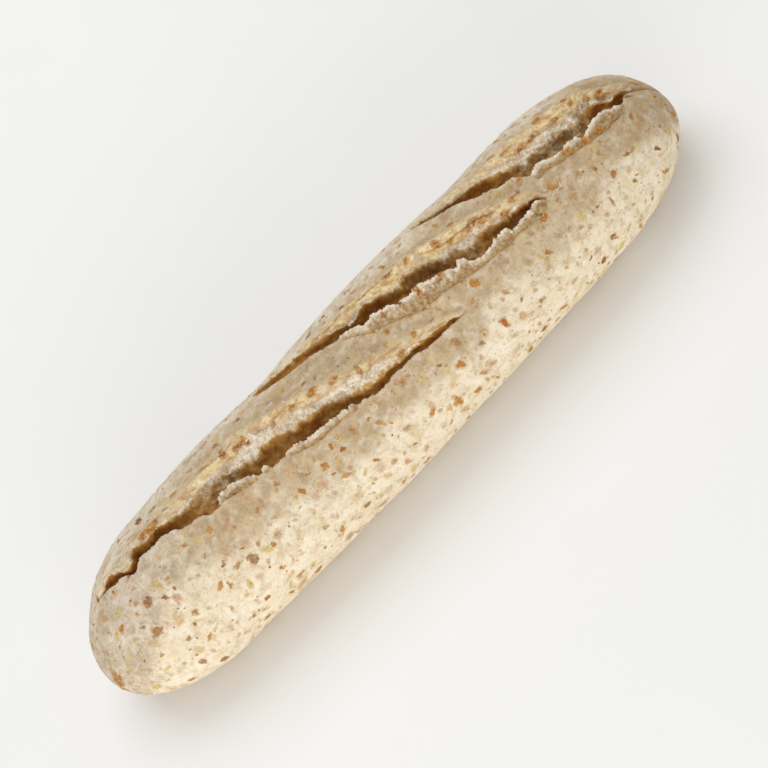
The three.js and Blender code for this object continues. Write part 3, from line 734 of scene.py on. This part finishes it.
def make_mesh(name, points, faces, material):
    """A piece from arrays, in metres, at the origin of the loaf's frame."""
    mesh = bpy.data.meshes.new(name)
    mesh.from_pydata((points * MM).tolist(), [], faces)
    mesh.polygons.foreach_set("use_smooth", [True] * len(mesh.polygons))
    mesh.materials.append(material)
    mesh.update()
    piece = bpy.data.objects.new(name, mesh)
    bpy.context.scene.collection.objects.link(piece)
    return piece


def give_values(piece, values):
    for key, numbers in values.items():
        attribute = piece.data.attributes.new(key, "FLOAT", "POINT")
        attribute.data.foreach_set("value", np.asarray(numbers, np.float32).ravel())


def mesh_normals(piece):
    normals = np.empty(len(piece.data.vertices) * 3, np.float32)
    piece.data.vertex_normals.foreach_get("vector", normals)
    return normals.reshape(-1, 3).astype(float)


SHOWN = (
    "torn", "gap_brown_and_shade", "gold", "rim", "tan", "pit_shade", "strand", "browned", "rusty", "thread", "low_band_shade",
    "crease_shade", "grey", "ash",
)


def make_loaf(material):
    """The loaf, with its points, normals and zones for what is scattered on it."""
    xs = ring_places()
    around = line_places(xs)
    _, _, zones = relief(xs[:, None] + 0 * around, around)
    touched = zones["near"] > 0.02
    touched = touched | np.roll(touched, -1, 1)
    x, places, faces = split_grid(xs, around, touched[1:] | touched[:-1])
    left, right, last = len(x), len(x) + 1, (len(xs) - 1) * LINES
    faces += [(left, j, (j + 1) % LINES) for j in range(LINES)]
    faces += [(right, last + (j + 1) % LINES, last + j) for j in range(LINES)]
    points, _, zones = crust(x, places)
    zones["across"] = places * girth(x)
    tips = [(end, 0, WIDEST_LINE - TIP_DROP) for end in (-LENGTH / 2, LENGTH / 2)]
    points = np.concatenate([points, tips])
    zones = {key: np.concatenate([value, value[:2] * 0]) for key, value in zones.items()}
    loaf = make_mesh("loaf_crust", points, faces, material)
    points = points + mesh_normals(loaf) * weave(points, zones)[:, None]
    points[:, 2] = np.maximum(points[:, 2], 0)
    loaf.data.vertices.foreach_set("co", (points * MM).ravel())
    loaf.data.update()
    give_values(loaf, {key: zones[key] for key in SHOWN})
    return loaf, points, mesh_normals(loaf), zones


# ---------------------------------------------------------------- materials
def linear(red, green, blue):
    """A colour as seen on a screen, from 0 to 255, as the shader's linear numbers."""

    def one(v):
        v /= 255
        return v / 12.92 if v <= 0.04045 else ((v + 0.055) / 1.055) ** 2.4

    return one(red), one(green), one(blue), 1.0


class Nodes:
    """A material's node tree, with short names for what is used here."""

    def __init__(self, name):
        self.material = bpy.data.materials.new(name)
        self.material.use_nodes = True
        self.tree = self.material.node_tree
        self.shader = self.tree.nodes["Principled BSDF"]
        self.place = self.tree.nodes.new("ShaderNodeTexCoord").outputs["Object"]

    def new(self, kind, **settings):
        node = self.tree.nodes.new(kind)
        for key, value in settings.items():
            setattr(node, key, value)
        return node

    def link(self, source, target):
        if isinstance(source, (int, float, tuple)):
            target.default_value = source
        else:
            self.tree.links.new(source, target)

    def noise(self, size, detail=2, roughness=0.5, distortion=0.0, out="Fac"):
        node = self.new("ShaderNodeTexNoise")
        node.inputs["Scale"].default_value = 1 / (size * MM)
        node.inputs["Detail"].default_value = detail
        node.inputs["Roughness"].default_value = roughness
        node.inputs["Distortion"].default_value = distortion
        self.link(self.place, node.inputs["Vector"])
        return node.outputs[out]

    def vector(self, operation, a, b, scale=None):
        node = self.new("ShaderNodeVectorMath", operation=operation)
        self.link(a, node.inputs[0])
        if scale is None:
            self.link(b, node.inputs[1])
        else:
            node.inputs["Scale"].default_value = scale
        return node.outputs[0]

    def wobbled(self, size, amount, offset):
        """The place, pushed about by noise, so that outlines drawn from it are uneven."""
        push = self.vector("SUBTRACT", self.noise(size, 3, out="Color"), (0.5, 0.5, 0.5))
        push = self.vector("SCALE", push, None, amount * MM)
        return self.vector("ADD", self.vector("ADD", self.place, push), offset)

    def spots(self, size, vector):
        """(distance, colour) of scattered cells."""
        node = self.new("ShaderNodeTexVoronoi")
        node.inputs["Scale"].default_value = 1 / (size * MM)
        self.link(vector, node.inputs["Vector"])
        return node.outputs["Distance"], node.outputs["Color"]

    def mask(self, name):
        return self.new("ShaderNodeAttribute", attribute_name=name).outputs["Fac"]

    def ramp(self, value, low, high, to_low=0.0, to_high=1.0):
        node = self.new("ShaderNodeMapRange", clamp=True)
        for key, number in zip(("From Min", "From Max", "To Min", "To Max"), (low, high, to_low, to_high)):
            node.inputs[key].default_value = number
        self.link(value, node.inputs["Value"])
        return node.outputs["Result"]

    def math(self, operation, a, b=0.0):
        node = self.new("ShaderNodeMath", operation=operation)
        self.link(a, node.inputs[0])
        self.link(b, node.inputs[1])
        return node.outputs[0]

    def times(self, a, b):
        return self.math("MULTIPLY", a, b)

    def mix(self, share, a, b):
        node = self.new("ShaderNodeMix", data_type="RGBA", blend_type="MIX")
        self.link(share, node.inputs["Factor"])
        self.link(a, node.inputs["A"])
        self.link(b, node.inputs["B"])
        return node.outputs["Result"]

    def flecked(self, colour, other, noise, low, high, strength=1.0):
        """The colour, with the other one over it where this noise is high."""
        return self.mix(self.ramp(self.noise(*noise), low, high, 0, strength), colour, other)

    def uneven(self, value, noise, middle, strength):
        """The value, moved up and down by noise."""
        return self.math("ADD", value, self.times(self.math("SUBTRACT", noise, middle), strength))

    def colours(self, value, stops):
        node = self.new("ShaderNodeValToRGB")
        ramp = node.color_ramp
        while len(ramp.elements) < len(stops):
            ramp.elements.new(0.5)
        for element, (place, colour) in zip(ramp.elements, stops):
            element.position = place
            element.color = colour
        self.link(value, node.inputs["Fac"])
        return node.outputs["Color"]

    def part(self, colour, channel):
        node = self.new("ShaderNodeSeparateColor")
        self.link(colour, node.inputs["Color"])
        return node.outputs[channel]

    def bumps(self, *heights):
        """One bump on another: (height, distance in mm, strength)."""
        normal = None
        for height, distance, strength in heights:
            node = self.new("ShaderNodeBump")
            node.inputs["Distance"].default_value = distance * MM
            node.inputs["Strength"].default_value = strength
            self.link(height, node.inputs["Height"])
            if normal is not None:
                self.link(normal, node.inputs["Normal"])
            normal = node.outputs["Normal"]
        self.link(normal, self.shader.inputs["Normal"])

    def finish(self, colour, roughness, specular=0.25, subsurface=0.0):
        self.link(colour, self.shader.inputs["Base Color"])
        self.link(roughness, self.shader.inputs["Roughness"])
        self.shader.inputs["Specular IOR Level"].default_value = specular
        self.shader.inputs["Subsurface Weight"].default_value = subsurface
        self.shader.inputs["Subsurface Radius"].default_value = (1.0, 0.6, 0.35)
        self.shader.inputs["Subsurface Scale"].default_value = 2 * MM
        return self.material


PALE_SKIN = linear(243, 230, 205), linear(229, 211, 178)
TAN_SKIN = linear(211, 190, 157), linear(184, 159, 121)
ASHEN_SKIN = linear(227, 214, 195), linear(204, 188, 165)
FLOUR = linear(244, 236, 219)
SMUDGE = linear(180, 150, 110)
TAN_SMUDGE = linear(152, 122, 84)
YELLOW_BRAN = linear(212, 190, 128)
PINK_BRAN = linear(192, 148, 116)
DARK_SPECK = linear(130, 98, 62)
BROWN_BRAN = linear(178, 118, 62)
HALO = linear(206, 170, 114)

CRUMB_WHITE = linear(250, 241, 223)
CRUMB_SHADE = linear(212, 189, 152)
CRUMB_TAN = linear(202, 158, 102)
BAND_SHADE = linear(186, 158, 108)
BAND_DEEP_SHADE = linear(144, 106, 58)
PIT = linear(158, 112, 64)
GOLD_LIGHT = linear(250, 229, 176)
GOLD_DARK = linear(194, 144, 72)
BLUSH = linear(200, 148, 86)
BROWNED_LIGHT = linear(200, 144, 72)
BROWNED_DARK = linear(148, 96, 40)
# The gap's brown crumb, with painted shade from light to deep.
HOLLOW_LIGHT = linear(214, 180, 124)
HOLLOW_MID_SHADE = linear(190, 144, 74)
HOLLOW_DEEP_SHADE = linear(166, 110, 40)
WOOL_DARK = linear(132, 102, 62)
WOOL_LIGHT = linear(232, 218, 192)
RUST_LIGHT = linear(168, 108, 48)
RUST_DARK = linear(132, 78, 28)


def skin_colour(n, tan):
    """The crust without its bran: cream where it is pale, tanner over the crown."""
    mottle = n.ramp(n.noise(7, 4, 0.62), 0.36, 0.66)
    skin = n.mix(tan, n.mix(mottle, *PALE_SKIN), n.mix(mottle, *TAN_SKIN))
    skin = n.mix(n.times(n.mask("ash"), 0.7), skin, n.mix(mottle, *ASHEN_SKIN))
    smudge = n.mix(tan, SMUDGE, TAN_SMUDGE)
    skin = n.flecked(skin, smudge, (4.2, 4, 0.65, 0.6), 0.5, 0.7, 0.5)
    skin = n.flecked(skin, smudge, (1.6, 4, 0.7, 0.4), 0.52, 0.72, 0.5)
    skin = n.flecked(skin, FLOUR, (3.0, 3, 0.55), 0.5, 0.7, 0.4)
    grain = n.times(n.ramp(n.noise(0.8, 3, 0.7), 0.5, 0.7), n.ramp(tan, 0, 1, 0.15, 0.5))
    return n.mix(grain, skin, SMUDGE)


def sunk_bran(n, skin):
    """Bran under the skin shows through as soft patches."""
    # size of the cells, size and amount of their wobble, offset, core, rim, rarity, strength, tones
    layers = [
        (5.2, 1.8, 3.6, (0.31, 0.17, 0.05), 0.14, 0.42, 0.66, 0.6, (YELLOW_BRAN, PINK_BRAN)),
        (3.0, 1.2, 2.2, (0.11, 0.43, 0.29), 0.14, 0.4, 0.72, 0.7, (SMUDGE, BROWN_BRAN)),
        (1.3, 0.7, 0.8, (0.53, 0.07, 0.37), 0.12, 0.28, 0.9, 0.7, (DARK_SPECK, SMUDGE)),
    ]
    for size, wobble, amount, offset, core, rim, rarity, strength, tones in layers:
        distance, hue = n.spots(size, n.wobbled(wobble, amount, offset))
        chosen = n.ramp(n.part(hue, "Red"), rarity, rarity + 0.03)
        share = n.times(n.ramp(distance, core, rim, 1, 0), chosen)
        skin = n.mix(n.times(share, strength), skin, n.mix(n.ramp(n.part(hue, "Green"), 0.4, 0.6), *tones))
    return skin


def torn_colour(n, web):
    """Crumb: whitish, painted shade in its pits, and brown crumb under painted shade deep in the gap."""
    crumb = n.mix(n.ramp(web, 0.34, 0.58), CRUMB_SHADE, CRUMB_WHITE)
    crumb = n.flecked(crumb, CRUMB_TAN, (4.0, 4, 0.65), 0.5, 0.62, 0.7)
    crumb = n.flecked(crumb, PIT, (2.2, 3, 0.6), 0.56, 0.7, 0.5)
    # Painted shade, in PIT brown, in the low places of the crumb's relief.
    crumb = n.mix(n.times(n.mask("pit_shade"), 0.25), crumb, PIT)
    edge = n.ramp(n.noise(2.0, 3, 0.6), 0.4, 0.6, 0.2, 0.9)
    crumb = n.mix(n.times(n.mask("rim"), edge), crumb, CRUMB_WHITE)
    coarse_and_fine = n.math("ADD", n.noise(1.6, 4, 0.65), n.times(n.noise(4.0, 2, 0.5), 0.8))
    # Painted shade in the gap, deepest where the mask is highest, broken up by noise.
    depth = n.uneven(n.mask("gap_brown_and_shade"), coarse_and_fine, 0.9, 1.5)
    depth = n.times(depth, n.ramp(n.mask("gap_brown_and_shade"), 0.03, 0.2))
    gap_brown_and_shade = n.colours(depth, [(0.15, HOLLOW_LIGHT), (0.5, HOLLOW_MID_SHADE), (0.95, HOLLOW_DEEP_SHADE)])
    torn = n.mix(n.ramp(depth, 0.08, 0.3), crumb, gap_brown_and_shade)
    # Grey wool in the gap, with painted shade that darkens it towards the lip.
    tuft = n.math("SUBTRACT", n.noise(1.7, 4, 0.55, 0.8), n.times(n.mask("gap_brown_and_shade"), 0.45))
    wool = n.mix(n.ramp(tuft, 0.25, 0.52), WOOL_DARK, WOOL_LIGHT)
    return n.mix(n.times(n.mask("grey"), n.ramp(n.noise(2.6, 3, 0.6), 0.35, 0.6, 0.3, 1)), torn, wool)


def crust_material():
    n = Nodes("crust_and_crumb")
    web = n.noise(0.9, 5, 0.65)
    skin = sunk_bran(n, skin_colour(n, n.mask("tan")))
    strand = n.mask("strand")
    patchy = n.ramp(n.noise(3.5, 3, 0.6), 0.36, 0.56, 0.35, 0.95)
    gold = n.flecked(n.mix(strand, GOLD_DARK, GOLD_LIGHT), BLUSH, (3.2, 4, 0.65), 0.5, 0.62, 0.7)
    gold = n.flecked(gold, CRUMB_WHITE, (2.2, 4, 0.65, 0.4), 0.52, 0.66, 0.75)
    gold = n.flecked(gold, PIT, (1.2, 4, 0.7, 0.4), 0.54, 0.68, 0.7)
    skin = n.mix(n.times(n.mask("gold"), patchy), skin, gold)
    skin = n.mix(n.times(n.mask("thread"), 0.75), skin, n.mix(n.ramp(web, 0.4, 0.6), BROWNED_LIGHT, SMUDGE))
    colour = n.mix(n.mask("torn"), skin, torn_colour(n, web))
    # Painted shade over the low part of the torn band, by its crease.
    low = n.uneven(n.mask("low_band_shade"), n.noise(2.2, 4, 0.65), 0.5, 1.4)
    low = n.times(n.ramp(low, -0.1, 0.45, 0, 0.9), n.ramp(n.mask("low_band_shade"), 0.02, 0.15))
    colour = n.mix(low, colour, n.mix(n.ramp(n.noise(1.4, 3, 0.65), 0.4, 0.62), BAND_DEEP_SHADE, BAND_SHADE))
    colour = n.mix(n.times(n.mask("rim"), 0.2), colour, CRUMB_WHITE)
    # Painted shade in the creases and cracks.
    colour = n.mix(n.times(n.mask("crease_shade"), n.ramp(n.noise(2.5, 3, 0.6), 0.35, 0.6)), colour, HOLLOW_MID_SHADE)
    colour = n.mix(n.ramp(n.mask("crease_shade"), 0.65, 0.95, 0, 0.8), colour, WOOL_DARK)
    browned = n.mix(n.ramp(web, 0.4, 0.6), BROWNED_DARK, BROWNED_LIGHT)
    share = n.times(n.mask("browned"), n.ramp(n.noise(1.3, 4, 0.65), 0.34, 0.52, 0.35, 1.0))
    colour = n.mix(share, colour, browned)
    rust = n.mix(n.ramp(web, 0.4, 0.6), RUST_DARK, RUST_LIGHT)
    colour = n.mix(n.times(n.mask("rusty"), 0.85), colour, rust)
    flour = n.noise(0.5, 2, 0.6)
    n.bumps(
        (n.noise(5, 3, 0.5), 0.5, 0.2),
        (n.noise(0.9, 4, 0.65), 0.2, 0.35),
        (n.times(web, n.mask("torn")), 0.4, 0.4),
    )
    return n.finish(colour, n.ramp(flour, 0.3, 0.7, 0.62, 0.85), subsurface=0.1)


def crumb_material():
    n = Nodes("torn_crumb")
    web = n.noise(0.7, 4, 0.6)
    colour = n.mix(n.ramp(web, 0.35, 0.65), CRUMB_SHADE, CRUMB_WHITE)
    colour = n.flecked(colour, CRUMB_TAN, (5, 2, 0.5), 0.5, 0.64, 0.6)
    n.bumps((web, 0.3, 0.6))
    return n.finish(colour, n.ramp(web, 0.3, 0.7, 0.75, 0.92), subsurface=0.1)


def darker(stops):
    """The same stops for the dark grain in a flake, which keeps more red than blue."""
    return [(place, (r * 0.5, g * 0.42, b * 0.36, 1.0)) for place, (r, g, b, _) in stops]


def bran_material(name, stops, roughness, softness):
    """Bran with a faint halo, whose rim fades into the skin round it. softness: where the fade begins."""
    n = Nodes(name)
    grain = n.noise(0.8, 4, 0.65)
    bran = n.colours(n.mask("tone"), stops)
    bran = n.mix(n.ramp(grain, 0.46, 0.64, 0, 0.75), bran, n.colours(n.mask("tone"), darker(stops)))
    bran = n.flecked(bran, HALO, (1.0, 3, 0.6), 0.52, 0.7, 0.55)
    skin = n.mix(n.times(n.mask("gold"), 0.65), skin_colour(n, n.mask("tan")), GOLD_LIGHT)
    skin = n.mix(n.mask("torn"), skin, n.mix(n.ramp(grain, 0.34, 0.58), CRUMB_SHADE, CRUMB_WHITE))
    cover = n.math("SUBTRACT", n.math("ADD", n.noise(1.1, 3, 0.6), n.noise(2.6, 2, 0.5)), 1.0)
    edge = n.math("ADD", n.mask("rim"), n.times(cover, 1.7))
    halo_edge = n.math("ADD", n.mask("rim"), n.times(cover, 0.5))
    halo = n.times(n.ramp(halo_edge, 0.55, 0.95, 0.4, 0), n.mask("show"))
    shown = n.times(n.ramp(edge, softness, 0.75, 1, 0), n.mask("show"))
    colour = n.mix(shown, n.mix(halo, skin, HALO), bran)
    n.bumps((grain, 0.12, 0.6))
    return n.finish(colour, n.ramp(grain, 0.3, 0.7, roughness, roughness + 0.15))


def floor_material():
    n = Nodes("pale_floor")
    grain = n.noise(30, 2, 0.5)
    n.bumps((grain, 0.2, 0.1))
    return n.finish(n.mix(grain, linear(250, 250, 249), linear(252, 252, 251)), 0.8, 0.1)


# ---------------------------------------------------------------- scattered things
def stretch_along(x):
    """Length along the side of the loaf for each millimetre of X."""
    step = 0.2
    within = np.clip(x, -LENGTH / 2 + 2 * step, LENGTH / 2 - 2 * step)
    slope = HALF_WIDTH * (girth(within + step) - girth(within - step)) / (2 * step)
    return np.sqrt(1 + slope**2)


def moved(x, around, along_side, across):
    """Places this far away on the crust."""
    x = np.clip(x + along_side / stretch_along(x), -LENGTH / 2 + 0.05, LENGTH / 2 - 0.05)
    return x, around + across / np.maximum(girth(x), 0.15)


def even_places(count, rng):
    """Places spread evenly over the crust, by length along the side and round it."""
    x = np.linspace(-LENGTH / 2 + 0.3, LENGTH / 2 - 0.3, 4000)
    area = np.cumsum(girth(x) * stretch_along(x))
    index = np.arange(count)
    share = (index * EVEN_STEPS[0] + rng.random() + rng.normal(0, 0.004, count)) % 1
    turn = (index * EVEN_STEPS[1] + rng.random() + rng.normal(0, 0.008, count)) % 1
    return np.interp(share * area[-1], area, x), (2 * turn - 1) * HALF_AROUND


def chip_outlines(count, sides, rng):
    """Outlines of broken chips: each is what a few random straight cuts leave of a round."""
    angles = np.arange(sides)[None] / sides * 2 * np.pi + rng.uniform(0, 1, (count, 1))
    radii = np.full((count, sides), 1.25)
    for k in range(CHIP_CUTS):
        facing = (k + rng.uniform(-0.35, 0.35, (count, 1))) / CHIP_CUTS * 2 * np.pi
        reach = rng.uniform(0.6, 1.0, (count, 1))
        radii = np.minimum(radii, reach / np.maximum(np.cos(angles - facing), 0.2))
    return angles, radii * rng.uniform(0.9, 1.08, (count, sides))


def lying_chips(x, around, lengths, widths, stands, sides, rng):
    """Thin chips that follow the crust: points, faces, nearness to the rim, zones, points in each."""
    count = len(x)
    angles, radii = chip_outlines(count, sides, rng)
    a, b = lengths[:, None] / 2 * radii * np.cos(angles), widths[:, None] / 2 * radii * np.sin(angles)
    turn = rng.uniform(0, np.pi, count)[:, None]
    da, db = a * np.cos(turn) - b * np.sin(turn), a * np.sin(turn) + b * np.cos(turn)
    rings = CHIP_RINGS
    offsets_a = np.concatenate([da * ring[0] for ring in rings] + [0 * da[:, :2]], 1)
    offsets_b = np.concatenate([db * ring[0] for ring in rings] + [0 * da[:, :2]], 1)
    points, normals, zones = crust(*moved(x[:, None], around[:, None], offsets_a, offsets_b))
    uneven = rng.uniform(0.8, 1.15, (count, sides))
    height = [np.full((count, sides), rings[0][1])]
    height += [stands[:, None] * ring[1] * uneven for ring in rings[1:]]
    height += [stands[:, None], np.full((count, 1), CHIP_ROOT)]
    points = points + normals * np.concatenate(height, 1)[..., None]
    rims = [np.full((count, sides), ring[2]) for ring in rings] + [np.zeros((count, 2))]
    per, levels = len(rings) * sides + 2, len(rings)
    j = np.arange(sides)
    k = (j + 1) % sides
    inner, top, bottom = (levels - 1) * sides, np.full(sides, per - 2), np.full(sides, per - 1)
    one = [np.stack([top, inner + j, inner + k], -1), np.stack([bottom, k, j], -1)]
    for level in range(levels - 1):
        low, high = level * sides, (level + 1) * sides
        one += [np.stack([high + j, low + j, low + k], -1), np.stack([high + j, low + k, high + k], -1)]
    faces = np.concatenate(one)[None] + per * np.arange(count)[:, None, None]
    return points.reshape(-1, 3), faces.reshape(-1, 3), np.concatenate(rims, 1).ravel(), zones, per


def with_fragments(x, around, size, tone, rng):
    """The same chips, with smaller ones broken off beside some of them."""
    parts = [(x, around, size, tone)]
    for chance in (0.4, 0.2, 0.1):
        chosen = rng.random(len(x)) < chance
        away = rng.uniform(0.5, 0.95, chosen.sum()) * size[chosen] + 0.3
        angle = rng.uniform(0, 2 * np.pi, chosen.sum())
        place = moved(x[chosen], around[chosen], away * np.cos(angle), away * np.sin(angle))
        parts.append((*place, size[chosen] * rng.uniform(0.25, 0.6, chosen.sum()), tone[chosen]))
    return [np.concatenate(column) for column in zip(*parts)]


def scatter_bran(name, count, sizes, aspects, stands, sides, material, seed, on_crumb, fragments=False):
    """Bran over the crust. on_crumb: the share that stays of what falls on torn crumb."""
    rng = np.random.default_rng(seed)
    x, around = even_places(count, rng)
    size = sizes[0] + (sizes[1] - sizes[0]) * rng.random(count) ** 1.3
    tone = rng.random(count)
    if fragments:
        x, around, size, tone = with_fragments(x, around, size, tone, rng)
    ways = np.array([(0, 1, -1, 0, 0), (0, 0, 0, 1, -1)])
    _, _, about = crust(*moved(x[:, None], around[:, None], *(size[:, None] / 2 * way for way in ways)))
    points, _, zones = crust(x, around)
    chosen = (about["gap_brown_and_shade"].max(1) < 0.1) & (about["gap"].max(1) < 0.2) & (points[:, 2] > 0.8)
    chosen &= (zones["torn"] < 0.5) | (rng.random(len(x)) < on_crumb)
    x, around, size, tone = x[chosen], around[chosen], size[chosen], tone[chosen]
    width = size * rng.uniform(*aspects, len(x))
    stand = rng.uniform(*stands, len(x))
    points, faces, rim, zones, per = lying_chips(x, around, size, width, stand, sides, rng)
    piece = make_mesh(name, points, faces.tolist(), material)
    show = np.maximum(np.clip(rng.normal(0.85, 0.35, len(x)), 0.2, 1), 0.85 * smooth((tone - 0.7) / 0.25))
    give_values(piece, {"rim": rim, "tone": np.repeat(tone, per), "show": np.repeat(show, per)})
    give_values(piece, {key: zones[key] for key in ("tan", "ash", "gold", "torn")})
    return piece


def crumb_grains(name, points, normals, weight, count, sizes, material, seed):
    """Small uneven crumbs resting on the torn places."""
    rng = np.random.default_rng(seed)
    chosen = rng.choice(len(points), count, p=weight / weight.sum())
    size = sizes[0] + (sizes[1] - sizes[0]) * rng.random(count) ** 2
    corners = np.array([(1, 0, 0), (-1, 0, 0), (0, 1, 0), (0, -1, 0), (0, 0, 1), (0, 0, -1)], float)
    shapes = corners[None] * rng.uniform(0.35, 0.75, (count, 6, 1)) * size[:, None, None]
    shapes = np.einsum("nij,nkj->nik", shapes, unit(rng.normal(size=(count, 3, 3))))
    centres = points[chosen] + normals[chosen] * (size * 0.1)[:, None] + rng.normal(0, 0.1, (count, 3))
    one = np.array([(0, 2, 4), (2, 1, 4), (1, 3, 4), (3, 0, 4), (2, 0, 5), (1, 2, 5), (3, 1, 5), (0, 3, 5)])
    faces = (one[None] + 6 * np.arange(count)[:, None, None]).reshape(-1, 3)
    return make_mesh(name, (shapes + centres[:, None]).reshape(-1, 3), faces.tolist(), material)


# ---------------------------------------------------------------- build
ORANGE_TONES = [
    (0.0, linear(182, 112, 36)),
    (0.25, linear(194, 134, 58)),
    (0.5, linear(160, 98, 38)),
    (0.75, linear(200, 148, 82)),
    (1.0, linear(132, 80, 34)),
]
PALE_TONES = [
    (0.0, linear(220, 200, 130)),
    (0.4, linear(206, 178, 112)),
    (0.7, linear(212, 176, 138)),
    (1.0, linear(196, 160, 128)),
]
DARK_TONES = [(0.0, linear(128, 92, 56)), (0.5, linear(160, 116, 72)), (1.0, linear(104, 74, 44))]

loaf, loaf_points, loaf_normals, zones = make_loaf(crust_material())
crumb = crumb_material()
orange = bran_material("bran_orange", ORANGE_TONES, 0.6, 0.35)
pale = bran_material("bran_pale", PALE_TONES, 0.65, 0.15)
dark = bran_material("bran_dark", DARK_TONES, 0.65, 0.55)
crumby = np.clip(zones["fluff"] + 0.3 * zones["band"] - 2 * zones["gap_brown_and_shade"], 0, 1) ** 2
dressing = [
    # name, count, sizes, widths over lengths, how far they stand up, sides, material, seed, on crumb
    scatter_bran("bran_flakes", 560, (2.8, 7.4), (0.4, 0.85), (0.04, 0.13), 12, orange, 1, 0.7, True),
    scatter_bran("bran_pale_flakes", 420, (3.2, 8.0), (0.4, 0.85), (0.02, 0.07), 12, pale, 2, 0.3),
    scatter_bran("bran_specks", 400, (0.5, 1.6), (0.4, 0.9), (0.03, 0.08), 7, dark, 3, 0.8),
    crumb_grains("crumb_grains", loaf_points, loaf_normals, crumby, 900, (0.25, 0.7), crumb, 4),
]

for piece in [loaf, *dressing]:
    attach(piece, "root")
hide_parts(NODE)


# ---------------------------------------------------------------- floor, light and camera
def plane(name, size, material):
    mesh = bpy.data.meshes.new(name)
    half = size / 2
    corners = [(-half, -half, 0), (half, -half, 0), (half, half, 0), (-half, half, 0)]
    mesh.from_pydata(corners, [], [(0, 1, 2, 3)])
    mesh.materials.append(material)
    floor = bpy.data.objects.new(name, mesh)
    bpy.context.scene.collection.objects.link(floor)
    return floor


FLOOR_SIZE, FLOOR_GAP = 4.0, 0.0002  # metres
floor = plane("floor", FLOOR_SIZE, floor_material())
floor.location.z = -FLOOR_GAP


def area_light(name, place, target, size, power, colour):
    data = bpy.data.lights.new(name, "AREA")
    data.shape = "RECTANGLE"
    data.size, data.size_y = size
    data.energy = power
    data.color = colour
    light = bpy.data.objects.new(name, data)
    light.location = place
    light.rotation_mode = "QUATERNION"
    light.rotation_quaternion = (Vector(target) - Vector(place)).to_track_quat("-Z", "Y")
    bpy.context.scene.collection.objects.link(light)
    return light


# Lights: place and target in metres, size in metres, power in watts, colour.
area_light("key", (-0.4, -0.8, 0.22), (0, 0, 0.02), (1.0, 0.4), 4.5, (1.0, 0.99, 0.97))
area_light("top", (0.05, 0.5, 1.0), (0, 0, 0.02), (1.2, 0.9), 5.7, (1.0, 1.0, 1.0))

world = bpy.data.worlds.new("studio")
world.use_nodes = True
world.node_tree.nodes["Background"].inputs["Color"].default_value = (1, 1, 1, 1)
world.node_tree.nodes["Background"].inputs["Strength"].default_value = 0.5
bpy.context.scene.world = world

# The photograph: the loaf's middle and slope in its 768-pixel frame, and its scale.
PHOTO_SIZE = 768
PHOTO_CENTRE = (379.6, 381.1)
PHOTO_SLOPE = math.radians(46.36)
MM_PER_PIXEL = 0.322
CAMERA_HEIGHT = math.radians(50)
LENS, SENSOR = 180, 36


def make_camera():
    data = bpy.data.cameras.new("camera")
    data.lens, data.sensor_width = LENS, SENSOR
    data.clip_start, data.clip_end = 0.05, 20
    back = Vector((0, -math.cos(CAMERA_HEIGHT), math.sin(CAMERA_HEIGHT)))
    level_up = Vector((0, math.sin(CAMERA_HEIGHT), math.cos(CAMERA_HEIGHT)))
    right = Vector((1, 0, 0)) * math.cos(PHOTO_SLOPE) - level_up * math.sin(PHOTO_SLOPE)
    up = Vector((1, 0, 0)) * math.sin(PHOTO_SLOPE) + level_up * math.cos(PHOTO_SLOPE)
    pixel = MM_PER_PIXEL * MM
    target = Vector((0, 0, WIDEST_LINE * MM))
    target += right * (PHOTO_SIZE / 2 - PHOTO_CENTRE[0]) * pixel
    target += up * (PHOTO_CENTRE[1] - PHOTO_SIZE / 2) * pixel
    distance = PHOTO_SIZE * pixel * LENS / SENSOR
    turned = Matrix((right, up, back)).transposed().to_4x4()
    camera = bpy.data.objects.new("camera", data)
    camera.matrix_world = Matrix.Translation(target + back * distance) @ turned
    bpy.context.scene.collection.objects.link(camera)
    bpy.context.scene.camera = camera


make_camera()
bpy.context.scene.view_settings.view_transform = "Standard"
